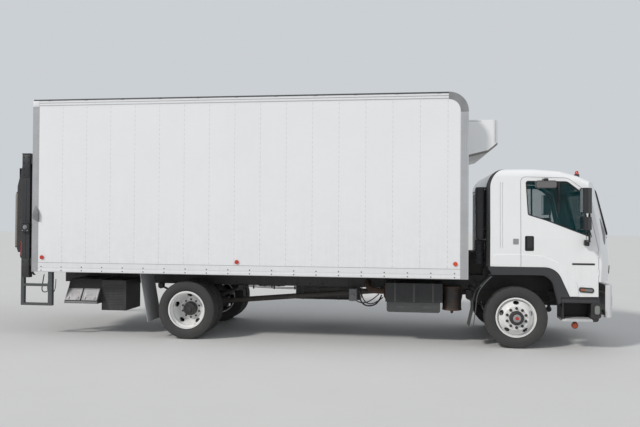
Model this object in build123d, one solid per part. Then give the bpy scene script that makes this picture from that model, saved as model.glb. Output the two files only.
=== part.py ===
from build123d import *
import math
import os

# Refrigerated delivery truck: tilting cab, insulated box, cooling unit and a rail tail lift.
# Millimetres. +X forward, +Y to the truck's left, +Z up. The origin is on the ground, at the
# middle of the overall length and width.

# Driving sizes of the vehicle
WHEELBASE = 5080
FRONT_OVERHANG = 1420
REAR_OVERHANG = 3060
OVERALL_LENGTH = FRONT_OVERHANG + WHEELBASE + REAR_OVERHANG
FRONT_AXLE_X = OVERALL_LENGTH / 2 - FRONT_OVERHANG
REAR_AXLE_X = FRONT_AXLE_X - WHEELBASE

# Fits
SEAT_GAP = 0.3
PIN_CLEARANCE = 0.05
RUNNING_GAP = 6

# Tyres and wheels
TYRE_R = 460
TYRE_W = 255
RIM_SEAT_R = 286
RIM_FLANGE_R = 298.5
RIM_W = 190.5
RIM_WALL = 9
RIM_WELL_R = 262
DISC_OFFSET = 145
DISC_T = 11
DISC_FACE_R = 182
BOLT_CIRCLE_R = 285.75 / 2
HAND_HOLES = 5
HAND_HOLE_R = 222
HAND_HOLE_HALF_W = 45
HAND_HOLE_HALF_H = 27
FRONT_TRACK_HALF = 965
DUAL_MIDDLE_Y = 915
FRONT_HUB_R = 82
REAR_HUB_R = 108
FRONT_SPINDLE_R = 30
REAR_SPINDLE_R = 45
DRUM_R = 205
WHEEL_Z = TYRE_R

# Steering
KINGPIN_Y = 800
KINGPIN_R = 22
EYE_HALF_H = 50
EYE_R = 44
LUG_T = 34
ARM_LENGTH = 180
ARM_DROP = 118
ARM_T = 26
TIE_PIN_R = 12

# Ladder frame
RAIL_OUTER_Y = 430
RAIL_H = 240
RAIL_FLANGE = 76
RAIL_T = 8
RAIL_Z = 800
RAIL_TOP_Z = RAIL_Z + RAIL_H
FRAME_FRONT = 1300
CROSS_W = 70
CROSS_T = 8
SPRING_Y = 432
SPRING_W = 70

# Insulated box, lengths from the front axle
BOX_HALF_W = 1295
BOX_FRONT = -722
LIFT_ROOM = 500
BOX_REAR = LIFT_ROOM - WHEELBASE - REAR_OVERHANG
BOX_Z = 1035
BOX_TOP_Z = 3820
BOX_WALL_T = 65
BOX_SKIN_INSET = 4
BOX_FLOOR_Z = 1140
BOX_FLOOR_T = 110
BOX_ROOF_T = 80
BOX_FRONT_T = 90
BOX_NOSE_R = 295
BOX_POST_W = 120
BOX_REAR_POST_W = 110
BOX_TOP_RAIL_H = 110
BOX_BOTTOM_RAIL_H = 150
BOX_SILL_PITCH = 406
BOX_SILL_W = 60
FRAME_REAR = BOX_REAR + BOX_REAR_POST_W + SEAT_GAP

# Cab, lengths from the front axle
CAB_REAR = -435
CAB_HALF_W = 1090
CAB_BELT_Z = 1640
CAB_TUMBLE = 50 / 1050
CAB_ROOF_R = 130
CAB_WALL = 50
CAB_BACK_R = 285
DOOR_GAP = 6
GLASS_INSET = 16
GLASS_T = 6
CAB_TILT_X = 1270
CAB_TILT_Z = 660
DOOR_HINGE_X = 1170
DOOR_HINGE_Y = 1095

TILT_PIN_R = 22
TILT_EYE_R = 42
TILT_LUG_T = 14
CAB_FLOOR_Z = 1150
CAB_FLOOR_T = 50
TUNNEL_HALF_W = 400
TUNNEL_TOP = 1500
HINGE_R = 8
HINGE_PIN_R = 4
HINGE_ROOM = 3
HINGE_L = 50
HINGE_Z = [1110, 1380]

# Engine, lengths from the front axle
ENGINE_BACK = -600
ENGINE_FRONT = 480
ENGINE_HALF_W = 330
ENGINE_Z = 600
ENGINE_TOP = 1400
ENGINE_MOUNTS = [-250, 250]

# Tail lift, lengths from the front axle
LIFT_Y = BOX_HALF_W - 60
LIFT_COLUMN_X = BOX_REAR - 190
LIFT_COLUMN_D = 140
LIFT_COLUMN_W = 90
LIFT_COLUMN_T = 8
LIFT_COLUMN_Z = 938
LIFT_BRACKET_DROP = 170
LIFT_COLUMN_TOP = 2950
LIFT_PLATE_PIN_X = LIFT_COLUMN_X - 125
LIFT_PLATE_PIN_Z = 1270
LIFT_PLATE_R = 24
LIFT_PLATE_L = 1490
LIFT_PLATE_HALF_W = LIFT_Y - 225

os.makedirs("parts", exist_ok=True)


def outline(corners):
    """Closed face from corners (u, v) or, where a corner is rounded, (u, v, radius)."""
    marks = [(c[0], c[1], c[2] if len(c) > 2 else 0) for c in corners]
    stops = []
    for i, (u, v, r) in enumerate(marks):
        p = Vector(u, v)
        before = Vector(*marks[i - 1][:2])
        after = Vector(*marks[(i + 1) % len(marks)][:2])
        if not r:
            stops.append((p, p, p))
            continue
        back = (before - p).normalized()
        on = (after - p).normalized()
        half = math.radians(back.get_angle(on)) / 2
        reach = r / math.tan(half)
        middle = (back + on).normalized() * (r / math.sin(half) - r)
        stops.append((p + back * reach, p + middle, p + on * reach))
    edges = []
    for i, (start, middle, end) in enumerate(stops):
        if (end - start).length > 1e-6:
            edges.append(ThreePointArc(start, middle, end))
        following = stops[(i + 1) % len(stops)][0]
        if (following - end).length > 1e-6:
            edges.append(Line(end, following))
    return make_face(edges)


def prism(axis, corners, low, high):
    """Outline swept along X, Y or Z; its corners are (Y, Z), (X, Z) or (X, Y)."""
    planes = {
        "X": Plane(origin=(low, 0, 0), x_dir=(0, 1, 0), z_dir=(1, 0, 0)),
        "Y": Plane(origin=(0, high, 0), x_dir=(1, 0, 0), z_dir=(0, -1, 0)),
        "Z": Plane(origin=(0, 0, low), x_dir=(1, 0, 0), z_dir=(0, 0, 1)),
    }
    return extrude(planes[axis] * outline(corners), high - low)


def block(x, y, z):
    """Box between two values on each axis."""
    size = (x[1] - x[0], y[1] - y[0], z[1] - z[0])
    return Pos((x[0] + x[1]) / 2, (y[0] + y[1]) / 2, (z[0] + z[1]) / 2) * Box(*size)


def rod(axis, at, radius, length):
    """Cylinder centred at a point, along X, Y or Z."""
    turn = {"X": Rot(0, 90, 0), "Y": Rot(90, 0, 0), "Z": Rot(0, 0, 0)}[axis]
    return Pos(*at) * turn * Cylinder(radius, length)


def turned(corners, x, z):
    """Solid of revolution about a line along Y at x, z; corners are (Y, radius)."""
    plane = Plane(origin=(x, 0, z), x_dir=(0, 1, 0), z_dir=(1, 0, 0))
    return revolve(plane * outline(corners), Axis((x, 0, z), (0, 1, 0)))


def ahead(corners):
    """Corners given from the front axle, as corners of the truck."""
    return [(c[0] + FRONT_AXLE_X, *c[1:]) for c in corners]


def fx(value):
    """A length from the front axle as an X of the truck."""
    return FRONT_AXLE_X + value


def both(solid):
    """A solid of the right side and its twin on the left side."""
    return [solid, mirror(solid, about=Plane.XZ)]


def save(node, pieces):
    """Write the solids of one node."""
    solids = [s for piece in pieces for s in piece.solids()]
    export_step(solids[0] if len(solids) == 1 else Compound(children=solids), f"parts/{node}.step")


# Ladder frame: two channel rails joined by channel cross members
def rail(side):
    top = RAIL_TOP_Z
    inner = RAIL_OUTER_Y - RAIL_FLANGE
    web = RAIL_OUTER_Y - RAIL_T
    section = [
        (side * RAIL_OUTER_Y, RAIL_Z, 10), (side * RAIL_OUTER_Y, top, 10), (side * inner, top),
        (side * inner, top - RAIL_T), (side * web, top - RAIL_T), (side * web, RAIL_Z + RAIL_T),
        (side * inner, RAIL_Z + RAIL_T), (side * inner, RAIL_Z),
    ]
    return prism("X", section, fx(FRAME_REAR), fx(FRAME_FRONT))


def cross_member(x):
    low = RAIL_Z + RAIL_T
    high = RAIL_TOP_Z - RAIL_T
    section = [
        (x, low), (x, high), (x + CROSS_W, high), (x + CROSS_W, high - CROSS_T),
        (x + CROSS_T, high - CROSS_T), (x + CROSS_T, low + CROSS_T),
        (x + CROSS_W, low + CROSS_T), (x + CROSS_W, low),
    ]
    web = RAIL_OUTER_Y - RAIL_T
    return prism("Y", section, -web, web)


# from the front axle, then from the rear axle
CROSS_MEMBERS = [fx(x) for x in (1080, 600, -1640, -2500, -3350, -4200)]
CROSS_MEMBERS += [REAR_AXLE_X + x for x in (-570, -1420, -2270)]


def ladder_frame():
    body = rail(1) + rail(-1)
    for x in CROSS_MEMBERS:
        body += cross_member(x)
    lug = prism("Y", ahead([
        (FRAME_FRONT - 130, RAIL_Z + 60), (FRAME_FRONT - 130, CAB_TILT_Z, 20),
        (CAB_TILT_X - 40, CAB_TILT_Z - TILT_EYE_R, 40),
        (CAB_TILT_X + TILT_EYE_R, CAB_TILT_Z - TILT_EYE_R, 40),
        (CAB_TILT_X + TILT_EYE_R, RAIL_Z + 60),
    ]), RAIL_OUTER_Y - TILT_LUG_T, RAIL_OUTER_Y)
    lug -= rod("Y", (fx(CAB_TILT_X), RAIL_OUTER_Y, CAB_TILT_Z), TILT_PIN_R + PIN_CLEARANCE, 80)
    mounts = block((fx(CAB_REAR + 20), fx(CAB_REAR + 90)), (RAIL_OUTER_Y - RAIL_FLANGE, RAIL_OUTER_Y),
                   (RAIL_TOP_Z, CAB_FLOOR_Z - SEAT_GAP))
    for x in ENGINE_MOUNTS:
        mounts += block((fx(x - 40), fx(x + 40)), (ENGINE_HALF_W + SEAT_GAP, RAIL_OUTER_Y - RAIL_T),
                        (RAIL_Z + 40, RAIL_Z + 100))
    for piece in (lug, mounts):
        body += piece
        body += mirror(piece, about=Plane.XZ)
    return body


save("ladder_frame", [ladder_frame()])


# Leaf springs: stepped leaves on one bend, eyes at the ends and hangers up to the rails
def leaf_spring(x, seat_z, half_length, camber, leaves, leaf_t):
    radius = (half_length ** 2 + camber ** 2) / (2 * camber)
    centre_z = seat_z + radius
    pack = None
    for n in range(leaves):
        reach = half_length * (1 - n * 0.8 / leaves)
        r = radius - leaf_t * (leaves - 1 - n)
        swing = math.asin(reach / radius)
        points = []
        for rr, turns in ((r, (-swing, 0, swing)), (r - leaf_t, (swing, 0, -swing))):
            points.append([
                (x + rr * math.sin(a), centre_z - rr * math.cos(a)) for a in turns
            ])
        (a, b, c), (d, e, f) = points
        face = make_face([
            ThreePointArc(a, b, c), Line(c, d), ThreePointArc(d, e, f), Line(f, a),
        ])
        plane = Plane(origin=(0, -SPRING_Y + SPRING_W / 2, 0), x_dir=(1, 0, 0), z_dir=(0, -1, 0))
        leaf = extrude(plane * face, SPRING_W)
        pack = leaf if pack is None else pack + leaf
    return pack


def spring_with_hangers(x, seat_z, half_length, camber, leaves, leaf_t):
    pack = leaf_spring(x, seat_z, half_length, camber, leaves, leaf_t)
    eye_z = seat_z + camber + leaf_t * (leaves - 1)
    for end in (-1, 1):
        eye_x = x + end * half_length
        pack += rod("Y", (eye_x, -SPRING_Y, eye_z), 30, SPRING_W)
        hanger = prism("Y", [
            (eye_x - 45, RAIL_Z), (eye_x - 38, eye_z - 20, 25), (eye_x + 38, eye_z - 20, 25),
            (eye_x + 45, RAIL_Z),
        ], -SPRING_Y - SPRING_W / 2 - 12, -SPRING_Y + SPRING_W / 2 + 12)
        slot = block((eye_x - 60, eye_x + 60), (-SPRING_Y - SPRING_W / 2, -SPRING_Y + SPRING_W / 2),
                     (eye_z - 60, eye_z + 40))
        pack += hanger - slot
    return pack


FRONT_SPRING_SEAT = 452
REAR_SPRING_SEAT = WHEEL_Z + 85
springs = both(spring_with_hangers(FRONT_AXLE_X, FRONT_SPRING_SEAT, 640, 190, 3, 14))
springs += both(spring_with_hangers(REAR_AXLE_X, REAR_SPRING_SEAT, 700, 150, 4, 16))
save("leaf_springs", springs)


# Front axle: forged beam with fixed kingpins
def front_axle():
    low = WHEEL_Z - EYE_HALF_H
    high = WHEEL_Z + EYE_HALF_H
    beam = [
        (KINGPIN_Y, low), (KINGPIN_Y - 100, low, 60), (540, 358, 60), (-540, 358, 60),
        (-KINGPIN_Y + 100, low, 60), (-KINGPIN_Y, low), (-KINGPIN_Y, high),
        (-KINGPIN_Y + 50, high, 50), (-540, FRONT_SPRING_SEAT, 60), (540, FRONT_SPRING_SEAT, 60),
        (KINGPIN_Y - 50, high, 50), (KINGPIN_Y, high),
    ]
    body = prism("X", beam, FRONT_AXLE_X - EYE_R, FRONT_AXLE_X + EYE_R)
    for side in (-1, 1):
        groove = block((FRONT_AXLE_X + side * 22, FRONT_AXLE_X + side * 60) if side > 0
                       else (FRONT_AXLE_X - 60, FRONT_AXLE_X - 22), (-520, 520), (374, 436))
        body -= groove
        body += rod("Z", (FRONT_AXLE_X, side * KINGPIN_Y, WHEEL_Z), EYE_R, 2 * EYE_HALF_H)
        pin = rod("Z", (FRONT_AXLE_X, side * KINGPIN_Y, WHEEL_Z), KINGPIN_R,
                  2 * (EYE_HALF_H + LUG_T + 4))
        body += pin
    return body


save("front_axle", [front_axle()])


# Steering knuckle: fork over the beam's eye, spindle, backing plate and steering arm
def knuckle():
    low = WHEEL_Z - EYE_HALF_H - LUG_T
    high = WHEEL_Z + EYE_HALF_H + LUG_T
    back = KINGPIN_Y + 52
    body = prism("Y", [
        (FRONT_AXLE_X - 62, low, 30), (FRONT_AXLE_X + 62, low, 30),
        (FRONT_AXLE_X + 62, high, 30), (FRONT_AXLE_X - 62, high, 30),
    ], -back - 26, -KINGPIN_Y + 46)
    throat = block((FRONT_AXLE_X - 80, FRONT_AXLE_X + 80), (-back, -KINGPIN_Y + 80),
                   (WHEEL_Z - EYE_HALF_H - SEAT_GAP, WHEEL_Z + EYE_HALF_H + SEAT_GAP))
    body -= throat
    body -= rod("Z", (FRONT_AXLE_X, -KINGPIN_Y, WHEEL_Z), KINGPIN_R + PIN_CLEARANCE, 400)
    outer = FRONT_TRACK_HALF + DISC_OFFSET
    spindle = outer - back
    body += rod("Y", (FRONT_AXLE_X, -(back + spindle / 2), WHEEL_Z), FRONT_SPINDLE_R, spindle)
    body += rod("Y", (FRONT_AXLE_X, -(back + 19), WHEEL_Z), 150, 14)
    arm_z = WHEEL_Z - ARM_DROP
    arm = prism("Z", [
        (FRONT_AXLE_X - ARM_LENGTH - 26, -KINGPIN_Y - 26, 25),
        (FRONT_AXLE_X - ARM_LENGTH - 26, -KINGPIN_Y + 26, 25),
        (FRONT_AXLE_X + 40, -KINGPIN_Y + 40), (FRONT_AXLE_X + 40, -KINGPIN_Y - 40),
    ], arm_z - ARM_T / 2, arm_z + ARM_T / 2)
    body += arm
    body += block((FRONT_AXLE_X - 40, FRONT_AXLE_X + 40), (-KINGPIN_Y - 40, -KINGPIN_Y + 40),
                  (arm_z - ARM_T / 2, low + 1))
    body -= rod("Z", (FRONT_AXLE_X, -KINGPIN_Y, WHEEL_Z), KINGPIN_R + PIN_CLEARANCE,
                2 * (EYE_HALF_H + LUG_T + 5))
    body -= rod("Z", (FRONT_AXLE_X - ARM_LENGTH, -KINGPIN_Y, arm_z), TIE_PIN_R + PIN_CLEARANCE, 60)
    return body


right_knuckle, left_knuckle = both(knuckle())
save("knuckle_right", [right_knuckle])
save("knuckle_left", [left_knuckle])


# Tie rod behind the axle, with an upright pin at each end in the steering arm
def tie_rod():
    arm_z = WHEEL_Z - ARM_DROP
    below = arm_z - ARM_T / 2 - SEAT_GAP
    x = FRONT_AXLE_X - ARM_LENGTH
    body = rod("Y", (x, 0, below - 22), 19, 2 * KINGPIN_Y)
    for side in (-1, 1):
        body += rod("Z", (x, side * KINGPIN_Y, below - 22), 30, 44)
        body += rod("Z", (x, side * KINGPIN_Y, arm_z - 4), TIE_PIN_R, ARM_T + 20)
    return body


save("tie_rod", [tie_rod()])


# Wheel rim with drop centre; the middle of the rim is at y
def rim(y, x):
    half = RIM_W / 2
    return turned([
        (y - half - 12, RIM_FLANGE_R), (y - half, RIM_FLANGE_R), (y - half, RIM_SEAT_R),
        (y - half + 40, RIM_SEAT_R), (y - half + 58, RIM_WELL_R), (y + half - 58, RIM_WELL_R),
        (y + half - 40, RIM_SEAT_R), (y + half, RIM_SEAT_R), (y + half, RIM_FLANGE_R),
        (y + half + 12, RIM_FLANGE_R), (y + half + 12, RIM_SEAT_R - RIM_WALL),
        (y + half - 36, RIM_SEAT_R - RIM_WALL), (y + half - 54, RIM_WELL_R - RIM_WALL),
        (y - half + 54, RIM_WELL_R - RIM_WALL), (y - half + 36, RIM_SEAT_R - RIM_WALL),
        (y - half - 12, RIM_SEAT_R - RIM_WALL),
    ], x, WHEEL_Z)


# Wheel disc: flat bolting face at y_face, coned out to the rim's well at y_rim
def disc(y_face, y_rim, x, bore):
    side = 1 if y_face > y_rim else -1
    t = DISC_T * side
    lip = 18 * side
    body = turned([
        (y_face - t, bore), (y_face, bore), (y_face, DISC_FACE_R, 20),
        (y_rim + lip, RIM_WELL_R - RIM_WALL + 3), (y_rim - lip, RIM_WELL_R - RIM_WALL + 3),
        (y_rim - lip, RIM_WELL_R - RIM_WALL - 6), (y_face - t, DISC_FACE_R - 8, 20),
    ], x, WHEEL_Z)
    for n in range(HAND_HOLES):
        turn = 2 * math.pi * (n + 0.25) / HAND_HOLES
        hole = extrude(Ellipse(HAND_HOLE_HALF_W, HAND_HOLE_HALF_H), 160, both=True)
        place = Pos(x + HAND_HOLE_R * math.cos(turn), (y_face + y_rim) / 2,
                    WHEEL_Z + HAND_HOLE_R * math.sin(turn))
        body -= place * Rot(0, 90 - math.degrees(turn), 0) * Rot(90, 0, 0) * hole
    return body


def tyre(y, x):
    half = TYRE_W / 2
    base = RIM_W / 2 - SEAT_GAP
    foot = RIM_SEAT_R + SEAT_GAP
    tread = half - 17
    return turned([
        (y - base, foot), (y - base, RIM_FLANGE_R + 4), (y - half, 352, 45), (y - half, 398, 60),
        (y - tread, TYRE_R, 26), (y + tread, TYRE_R, 26), (y + half, 398, 60), (y + half, 352, 45),
        (y + base, RIM_FLANGE_R + 4), (y + base, foot),
    ], x, WHEEL_Z)


# Front wheel: rim, outward disc, hub with cap and brake drum
def front_wheel():
    y = -FRONT_TRACK_HALF
    face = y - DISC_OFFSET
    bore = FRONT_SPINDLE_R + PIN_CLEARANCE
    body = rim(y, FRONT_AXLE_X) + disc(face, y - 50, FRONT_AXLE_X, FRONT_HUB_R - 4)
    inner = -KINGPIN_Y - 52 - 40
    body += turned([
        (inner, bore), (inner, 120), (inner - 30, 120), (inner - 60, FRONT_HUB_R),
        (face - 2, FRONT_HUB_R), (face - 2, FRONT_HUB_R - 8), (face - 44, FRONT_HUB_R - 8, 10),
        (face - 44, 0.0), (face - 6, 0.0), (face - 6, bore),
    ], FRONT_AXLE_X, WHEEL_Z)
    body += turned([
        (inner, DRUM_R), (inner, DRUM_R - 14), (inner - 120, DRUM_R - 14), (inner - 120, 70),
        (inner - 134, 70), (inner - 134, DRUM_R),
    ], FRONT_AXLE_X, WHEEL_Z)
    return body


# Rear wheels: two rims back to back on one hub, with the drum inside the inner rim
def rear_wheels():
    middle = -DUAL_MIDDLE_Y
    outer = middle - DISC_OFFSET
    inner = middle + DISC_OFFSET
    bore = REAR_SPINDLE_R + PIN_CLEARANCE
    body = rim(outer, REAR_AXLE_X) + rim(inner, REAR_AXLE_X)
    body += disc(middle - DISC_T, outer + 50, REAR_AXLE_X, REAR_HUB_R - 4)
    body += disc(middle + DISC_T, inner - 50, REAR_AXLE_X, REAR_HUB_R - 4)
    body += turned([
        (middle + 250, bore), (middle + 250, 90), (middle + 12, REAR_HUB_R),
        (middle - 12, REAR_HUB_R), (middle - 110, REAR_HUB_R - 14, 12), (middle - 110, 0.0),
        (middle - 96, 0.0), (middle - 96, bore),
    ], REAR_AXLE_X, WHEEL_Z)
    body += turned([
        (middle + 40, 90), (middle + 40, DRUM_R), (middle + 240, DRUM_R),
        (middle + 240, DRUM_R - 14), (middle + 54, DRUM_R - 14), (middle + 54, 90),
    ], REAR_AXLE_X, WHEEL_Z)
    return body


front_right, front_left = both(front_wheel())
rear_right, rear_left = both(rear_wheels())
save("front_wheel_right", [front_right])
save("front_wheel_left", [front_left])
save("rear_wheels_right", [rear_right])
save("rear_wheels_left", [rear_left])
for name, side in (("right", -1), ("left", 1)):
    save(f"front_tyre_{name}", [tyre(side * FRONT_TRACK_HALF, FRONT_AXLE_X)])
    pair = [tyre(side * (DUAL_MIDDLE_Y + n * DISC_OFFSET), REAR_AXLE_X) for n in (-1, 1)]
    save(f"rear_tyres_{name}", pair)


# Rear axle: tube with differential bowl, spring pads and spindles
def rear_axle():
    tube_half = DUAL_MIDDLE_Y - 275
    body = turned([
        (-DUAL_MIDDLE_Y - 90, 0), (DUAL_MIDDLE_Y + 90, 0), (DUAL_MIDDLE_Y + 90, REAR_SPINDLE_R),
        (tube_half, REAR_SPINDLE_R), (tube_half, 72), (210, 78), (150, 195, 70), (-150, 195, 70),
        (-210, 78), (-tube_half, 72), (-tube_half, REAR_SPINDLE_R),
        (-DUAL_MIDDLE_Y - 90, REAR_SPINDLE_R),
    ], REAR_AXLE_X, WHEEL_Z)
    nose = Pos(REAR_AXLE_X + 250, 0, WHEEL_Z + 20) * Rot(0, 90, 0) * Cone(130, 75, 240)
    body += nose
    for side in (-1, 1):
        body += block((REAR_AXLE_X - 70, REAR_AXLE_X + 70),
                      (side * SPRING_Y - 40, side * SPRING_Y + 40), (WHEEL_Z, REAR_SPRING_SEAT))
    return body


save("rear_axle", [rear_axle()])

# Engine as one plain block between the rails, under the cab
save("engine_block", [block((fx(ENGINE_BACK), fx(ENGINE_FRONT)), (-ENGINE_HALF_W, ENGINE_HALF_W),
                            (ENGINE_Z, ENGINE_TOP))])


# Gearbox and propeller shaft to the rear axle's nose
def drive_line():
    start = (fx(-1500), 760)
    end = (REAR_AXLE_X + 376, WHEEL_Z + 20)
    box_profile = [
        (ENGINE_BACK, 700, 20), (ENGINE_BACK, 1000, 20), (-1100, 950, 60), (-1500, 890, 60),
        (-1500, 690, 60), (-1100, 640, 60),
    ]
    body = prism("Y", ahead(box_profile), -190, 190)
    run = math.dist(start, end)
    slope = math.degrees(math.atan2(start[1] - end[1], start[0] - end[0]))
    middle = Pos((start[0] + end[0]) / 2, 0, (start[1] + end[1]) / 2)
    body += middle * Rot(0, 90 - slope, 0) * Cylinder(45, run)
    return body


save("drive_line", [drive_line()])

# Fuel tank on the left rail
FUEL_TANK = [(470, 470, 60), (1150, 470, 130), (1150, 930, 130), (470, 930, 60)]
TANK_BACK = -3600
TANK_FRONT = -2440


def fuel_tank():
    body = prism("X", FUEL_TANK, fx(TANK_BACK), fx(TANK_FRONT))
    for x in (TANK_BACK + 250, TANK_FRONT - 250):
        body += prism("X", [
            (RAIL_OUTER_Y, 880), (RAIL_OUTER_Y, 1000, 10), (560, 945), (480, 880),
        ], fx(x) - 30, fx(x) + 30)
    return body


save("fuel_tank", [fuel_tank()])


# Exhaust cleaning box and its round canister on the right rail
def exhaust_unit():
    body = block((fx(-1950), fx(-1077)), (-950, -480), (640, 930))
    body += prism("Y", ahead([(-1930, 640), (-1930, 480, 40), (-1110, 480, 40), (-1110, 640)]),
                  -940, -500)
    body += block((fx(-1700), fx(-1300)), (-RAIL_OUTER_Y - 50, -RAIL_OUTER_Y), (850, 920))
    body += rod("Z", (fx(-922), -900 + 140, 700), 144, 370)
    body += block((fx(-1100), fx(-922)), (-800, -700), (760, 860))
    return body


save("exhaust_unit", [exhaust_unit()])


# Power pack of the tail lift: dark housing with two sloping lids over a step edge
def power_pack():
    section = [
        (-RAIL_OUTER_Y, 520), (-1150, 520), (-1150, 560), (-1135, 560), (-1020, 750, 12),
        (-960, 900), (-RAIL_OUTER_Y, 900),
    ]
    rear = fx(BOX_REAR) + 490
    body = prism("X", section, rear, rear + 570)
    lid = [(-1147, 568), (-1032, 757), (-1020, 750), (-1135, 560)]
    for back, front in ((5, 270), (290, 560)):
        body += prism("X", lid, rear + back, rear + front)
    body += block((rear + 570, rear + 990), (-1000, -RAIL_OUTER_Y), (400, 890))
    return body


save("power_pack", [power_pack()])


# Steel front bumper: open-backed channel, wrapped back at its ends
BUMPER_Z = 485
BUMPER_TOP = 962
BUMPER_T = 8
BUMPER_HALF_W = 1000
LAMP_MIDDLE = 720
LAMP_HALF_W = 190
LAMP_Z = 640
LAMP_TOP = 800


def bumper_form(inset):
    t = inset
    return [
        (1290, -BUMPER_HALF_W + t), (1389 - t, -BUMPER_HALF_W + t, 60 - t),
        (FRONT_OVERHANG - t, -700, 300), (FRONT_OVERHANG - t, 700, 300),
        (1389 - t, BUMPER_HALF_W - t, 60 - t), (1290, BUMPER_HALF_W - t),
    ]


def bumper():
    body = prism("Z", ahead(bumper_form(0)), BUMPER_Z, BUMPER_TOP)
    inner = bumper_form(BUMPER_T)
    inner[0] = (1280, inner[0][1])
    inner[-1] = (1280, inner[-1][1])
    body -= prism("Z", ahead(inner), BUMPER_Z + BUMPER_T, BUMPER_TOP - BUMPER_T)
    body -= block((fx(1200), fx(1330)), (-900, 900), (BUMPER_Z - 10, BUMPER_TOP + 10))
    for side in (-1, 1):
        body -= block((fx(1340), fx(1500)), (side * LAMP_MIDDLE - LAMP_HALF_W,
                                             side * LAMP_MIDDLE + LAMP_HALF_W), (LAMP_Z, LAMP_TOP))
        low, high = sorted((side * (RAIL_OUTER_Y - RAIL_FLANGE), side * RAIL_OUTER_Y))
        body += block((fx(CAB_TILT_X + TILT_EYE_R + SEAT_GAP), fx(FRONT_OVERHANG - BUMPER_T)),
                      (low, high), (RAIL_Z + 20, RAIL_Z + 40))
    return body


save("bumper", [bumper()])


def headlamp():
    low = LAMP_Z + SEAT_GAP
    high = LAMP_TOP - SEAT_GAP
    front = FRONT_OVERHANG - 8
    profile = [(1345, low), (front, low, 15), (front, high, 15), (1345, high)]
    return prism("Y", ahead(profile), -LAMP_MIDDLE - LAMP_HALF_W + SEAT_GAP,
                 -LAMP_MIDDLE + LAMP_HALF_W - SEAT_GAP)


save("headlamps", both(headlamp()))


# Guards behind the front wheels and flaps behind the rear ones
def front_guard():
    profile = [
        (-372, 1078), (-600, 865, 60), (-640, 707, 60), (-640, 557, 60), (-695, 314),
        (-685, 310), (-628, 550, 60), (-628, 700, 60), (-590, 855, 60), (-362, 1066),
    ]
    guard = prism("Y", ahead(profile), -1090, -780)
    stay = block((fx(-640), fx(-600)), (-900, -RAIL_OUTER_Y), (845, 875))
    return guard + stay


FLAP_X = 626


def rear_flap():
    top = RAIL_TOP_Z
    x = REAR_AXLE_X - FLAP_X
    profile = [(x - 140, top), (x, 259), (x + 8, 259), (x - 132, top)]
    flap = prism("Y", profile, -BOX_HALF_W + 95, -650)
    return flap


save("mudguards", both(front_guard()) + both(rear_flap()))


# The box: every edge piece follows one side outline
def box_outline(front, top, bottom, rear):
    """Side outline of the box, inset from its front, top, bottom and rear."""
    nose = max(BOX_NOSE_R - max(front, top), 20)
    return ahead([
        (BOX_REAR + rear, BOX_Z + bottom), (BOX_FRONT - front, BOX_Z + bottom),
        (BOX_FRONT - front, BOX_TOP_Z - top, nose), (BOX_REAR + rear, BOX_TOP_Z - top),
    ])


BOX_INNER_Y = BOX_HALF_W - BOX_SKIN_INSET - BOX_WALL_T
NOSE_START = BOX_FRONT - BOX_NOSE_R


def side_wall():
    return prism("Y", box_outline(BOX_POST_W, BOX_TOP_RAIL_H, BOX_FLOOR_Z - BOX_Z,
                                  BOX_REAR_POST_W),
                 -BOX_HALF_W + BOX_SKIN_INSET, -BOX_INNER_Y)


save("box_sides", both(side_wall()))


def corner_post():
    """Front post and cast top corner, fluted on its side."""
    body = prism("Y", box_outline(0, 0, 0, 0), -BOX_HALF_W, -BOX_INNER_Y)
    body -= prism("Y", box_outline(BOX_POST_W, BOX_TOP_RAIL_H, -10, -10), -BOX_HALF_W - 5,
                  -BOX_INNER_Y + 5)
    body -= block((fx(BOX_REAR) - 50, fx(NOSE_START)), (-BOX_HALF_W - 5, 0), (0, BOX_TOP_Z + 5))
    for n in range(3):
        x = fx(BOX_FRONT) - 28 - n * 30
        body -= block((x - 8, x + 8), (-BOX_HALF_W - 5, -BOX_HALF_W + 5),
                      (BOX_Z - 5, BOX_TOP_Z - BOX_NOSE_R))
    return body


save("box_corner_posts", both(corner_post()))


def bottom_rail():
    low = BOX_Z
    top = BOX_Z + BOX_BOTTOM_RAIL_H
    skin = BOX_HALF_W - BOX_SKIN_INSET
    section = [
        (-BOX_INNER_Y, BOX_FLOOR_Z), (-BOX_INNER_Y, low), (-BOX_HALF_W, low),
        (-BOX_HALF_W, low + 40), (-BOX_HALF_W + 3, low + 44), (-BOX_HALF_W + 3, low + 66),
        (-BOX_HALF_W, low + 70), (-BOX_HALF_W, top), (-skin, top), (-skin, BOX_FLOOR_Z),
    ]
    return prism("X", section, fx(BOX_REAR + BOX_REAR_POST_W), fx(BOX_FRONT - BOX_POST_W))


def top_rail():
    low = BOX_TOP_Z - BOX_TOP_RAIL_H
    section = [
        (-BOX_INNER_Y, BOX_TOP_Z), (-BOX_HALF_W + 2, BOX_TOP_Z, 12), (-BOX_HALF_W + 2, low + 58),
        (-BOX_HALF_W, low + 54), (-BOX_HALF_W, low), (-BOX_INNER_Y, low),
    ]
    return prism("X", section, fx(BOX_REAR + BOX_REAR_POST_W), fx(NOSE_START))


save("box_rails", both(bottom_rail()) + both(top_rail()))


def box_floor():
    rear = fx(BOX_REAR + BOX_REAR_POST_W)
    front = fx(BOX_FRONT - BOX_FRONT_T)
    body = block((rear, front), (-BOX_INNER_Y, BOX_INNER_Y),
                 (BOX_FLOOR_Z, BOX_FLOOR_Z + BOX_FLOOR_T))
    count = int((front - rear) // BOX_SILL_PITCH)
    for n in range(count):
        x = rear + 60 + n * BOX_SILL_PITCH
        body += block((x, x + BOX_SILL_W), (-BOX_INNER_Y, BOX_INNER_Y), (RAIL_TOP_Z, BOX_FLOOR_Z))
    return body


save("box_floor", [box_floor()])


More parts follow.
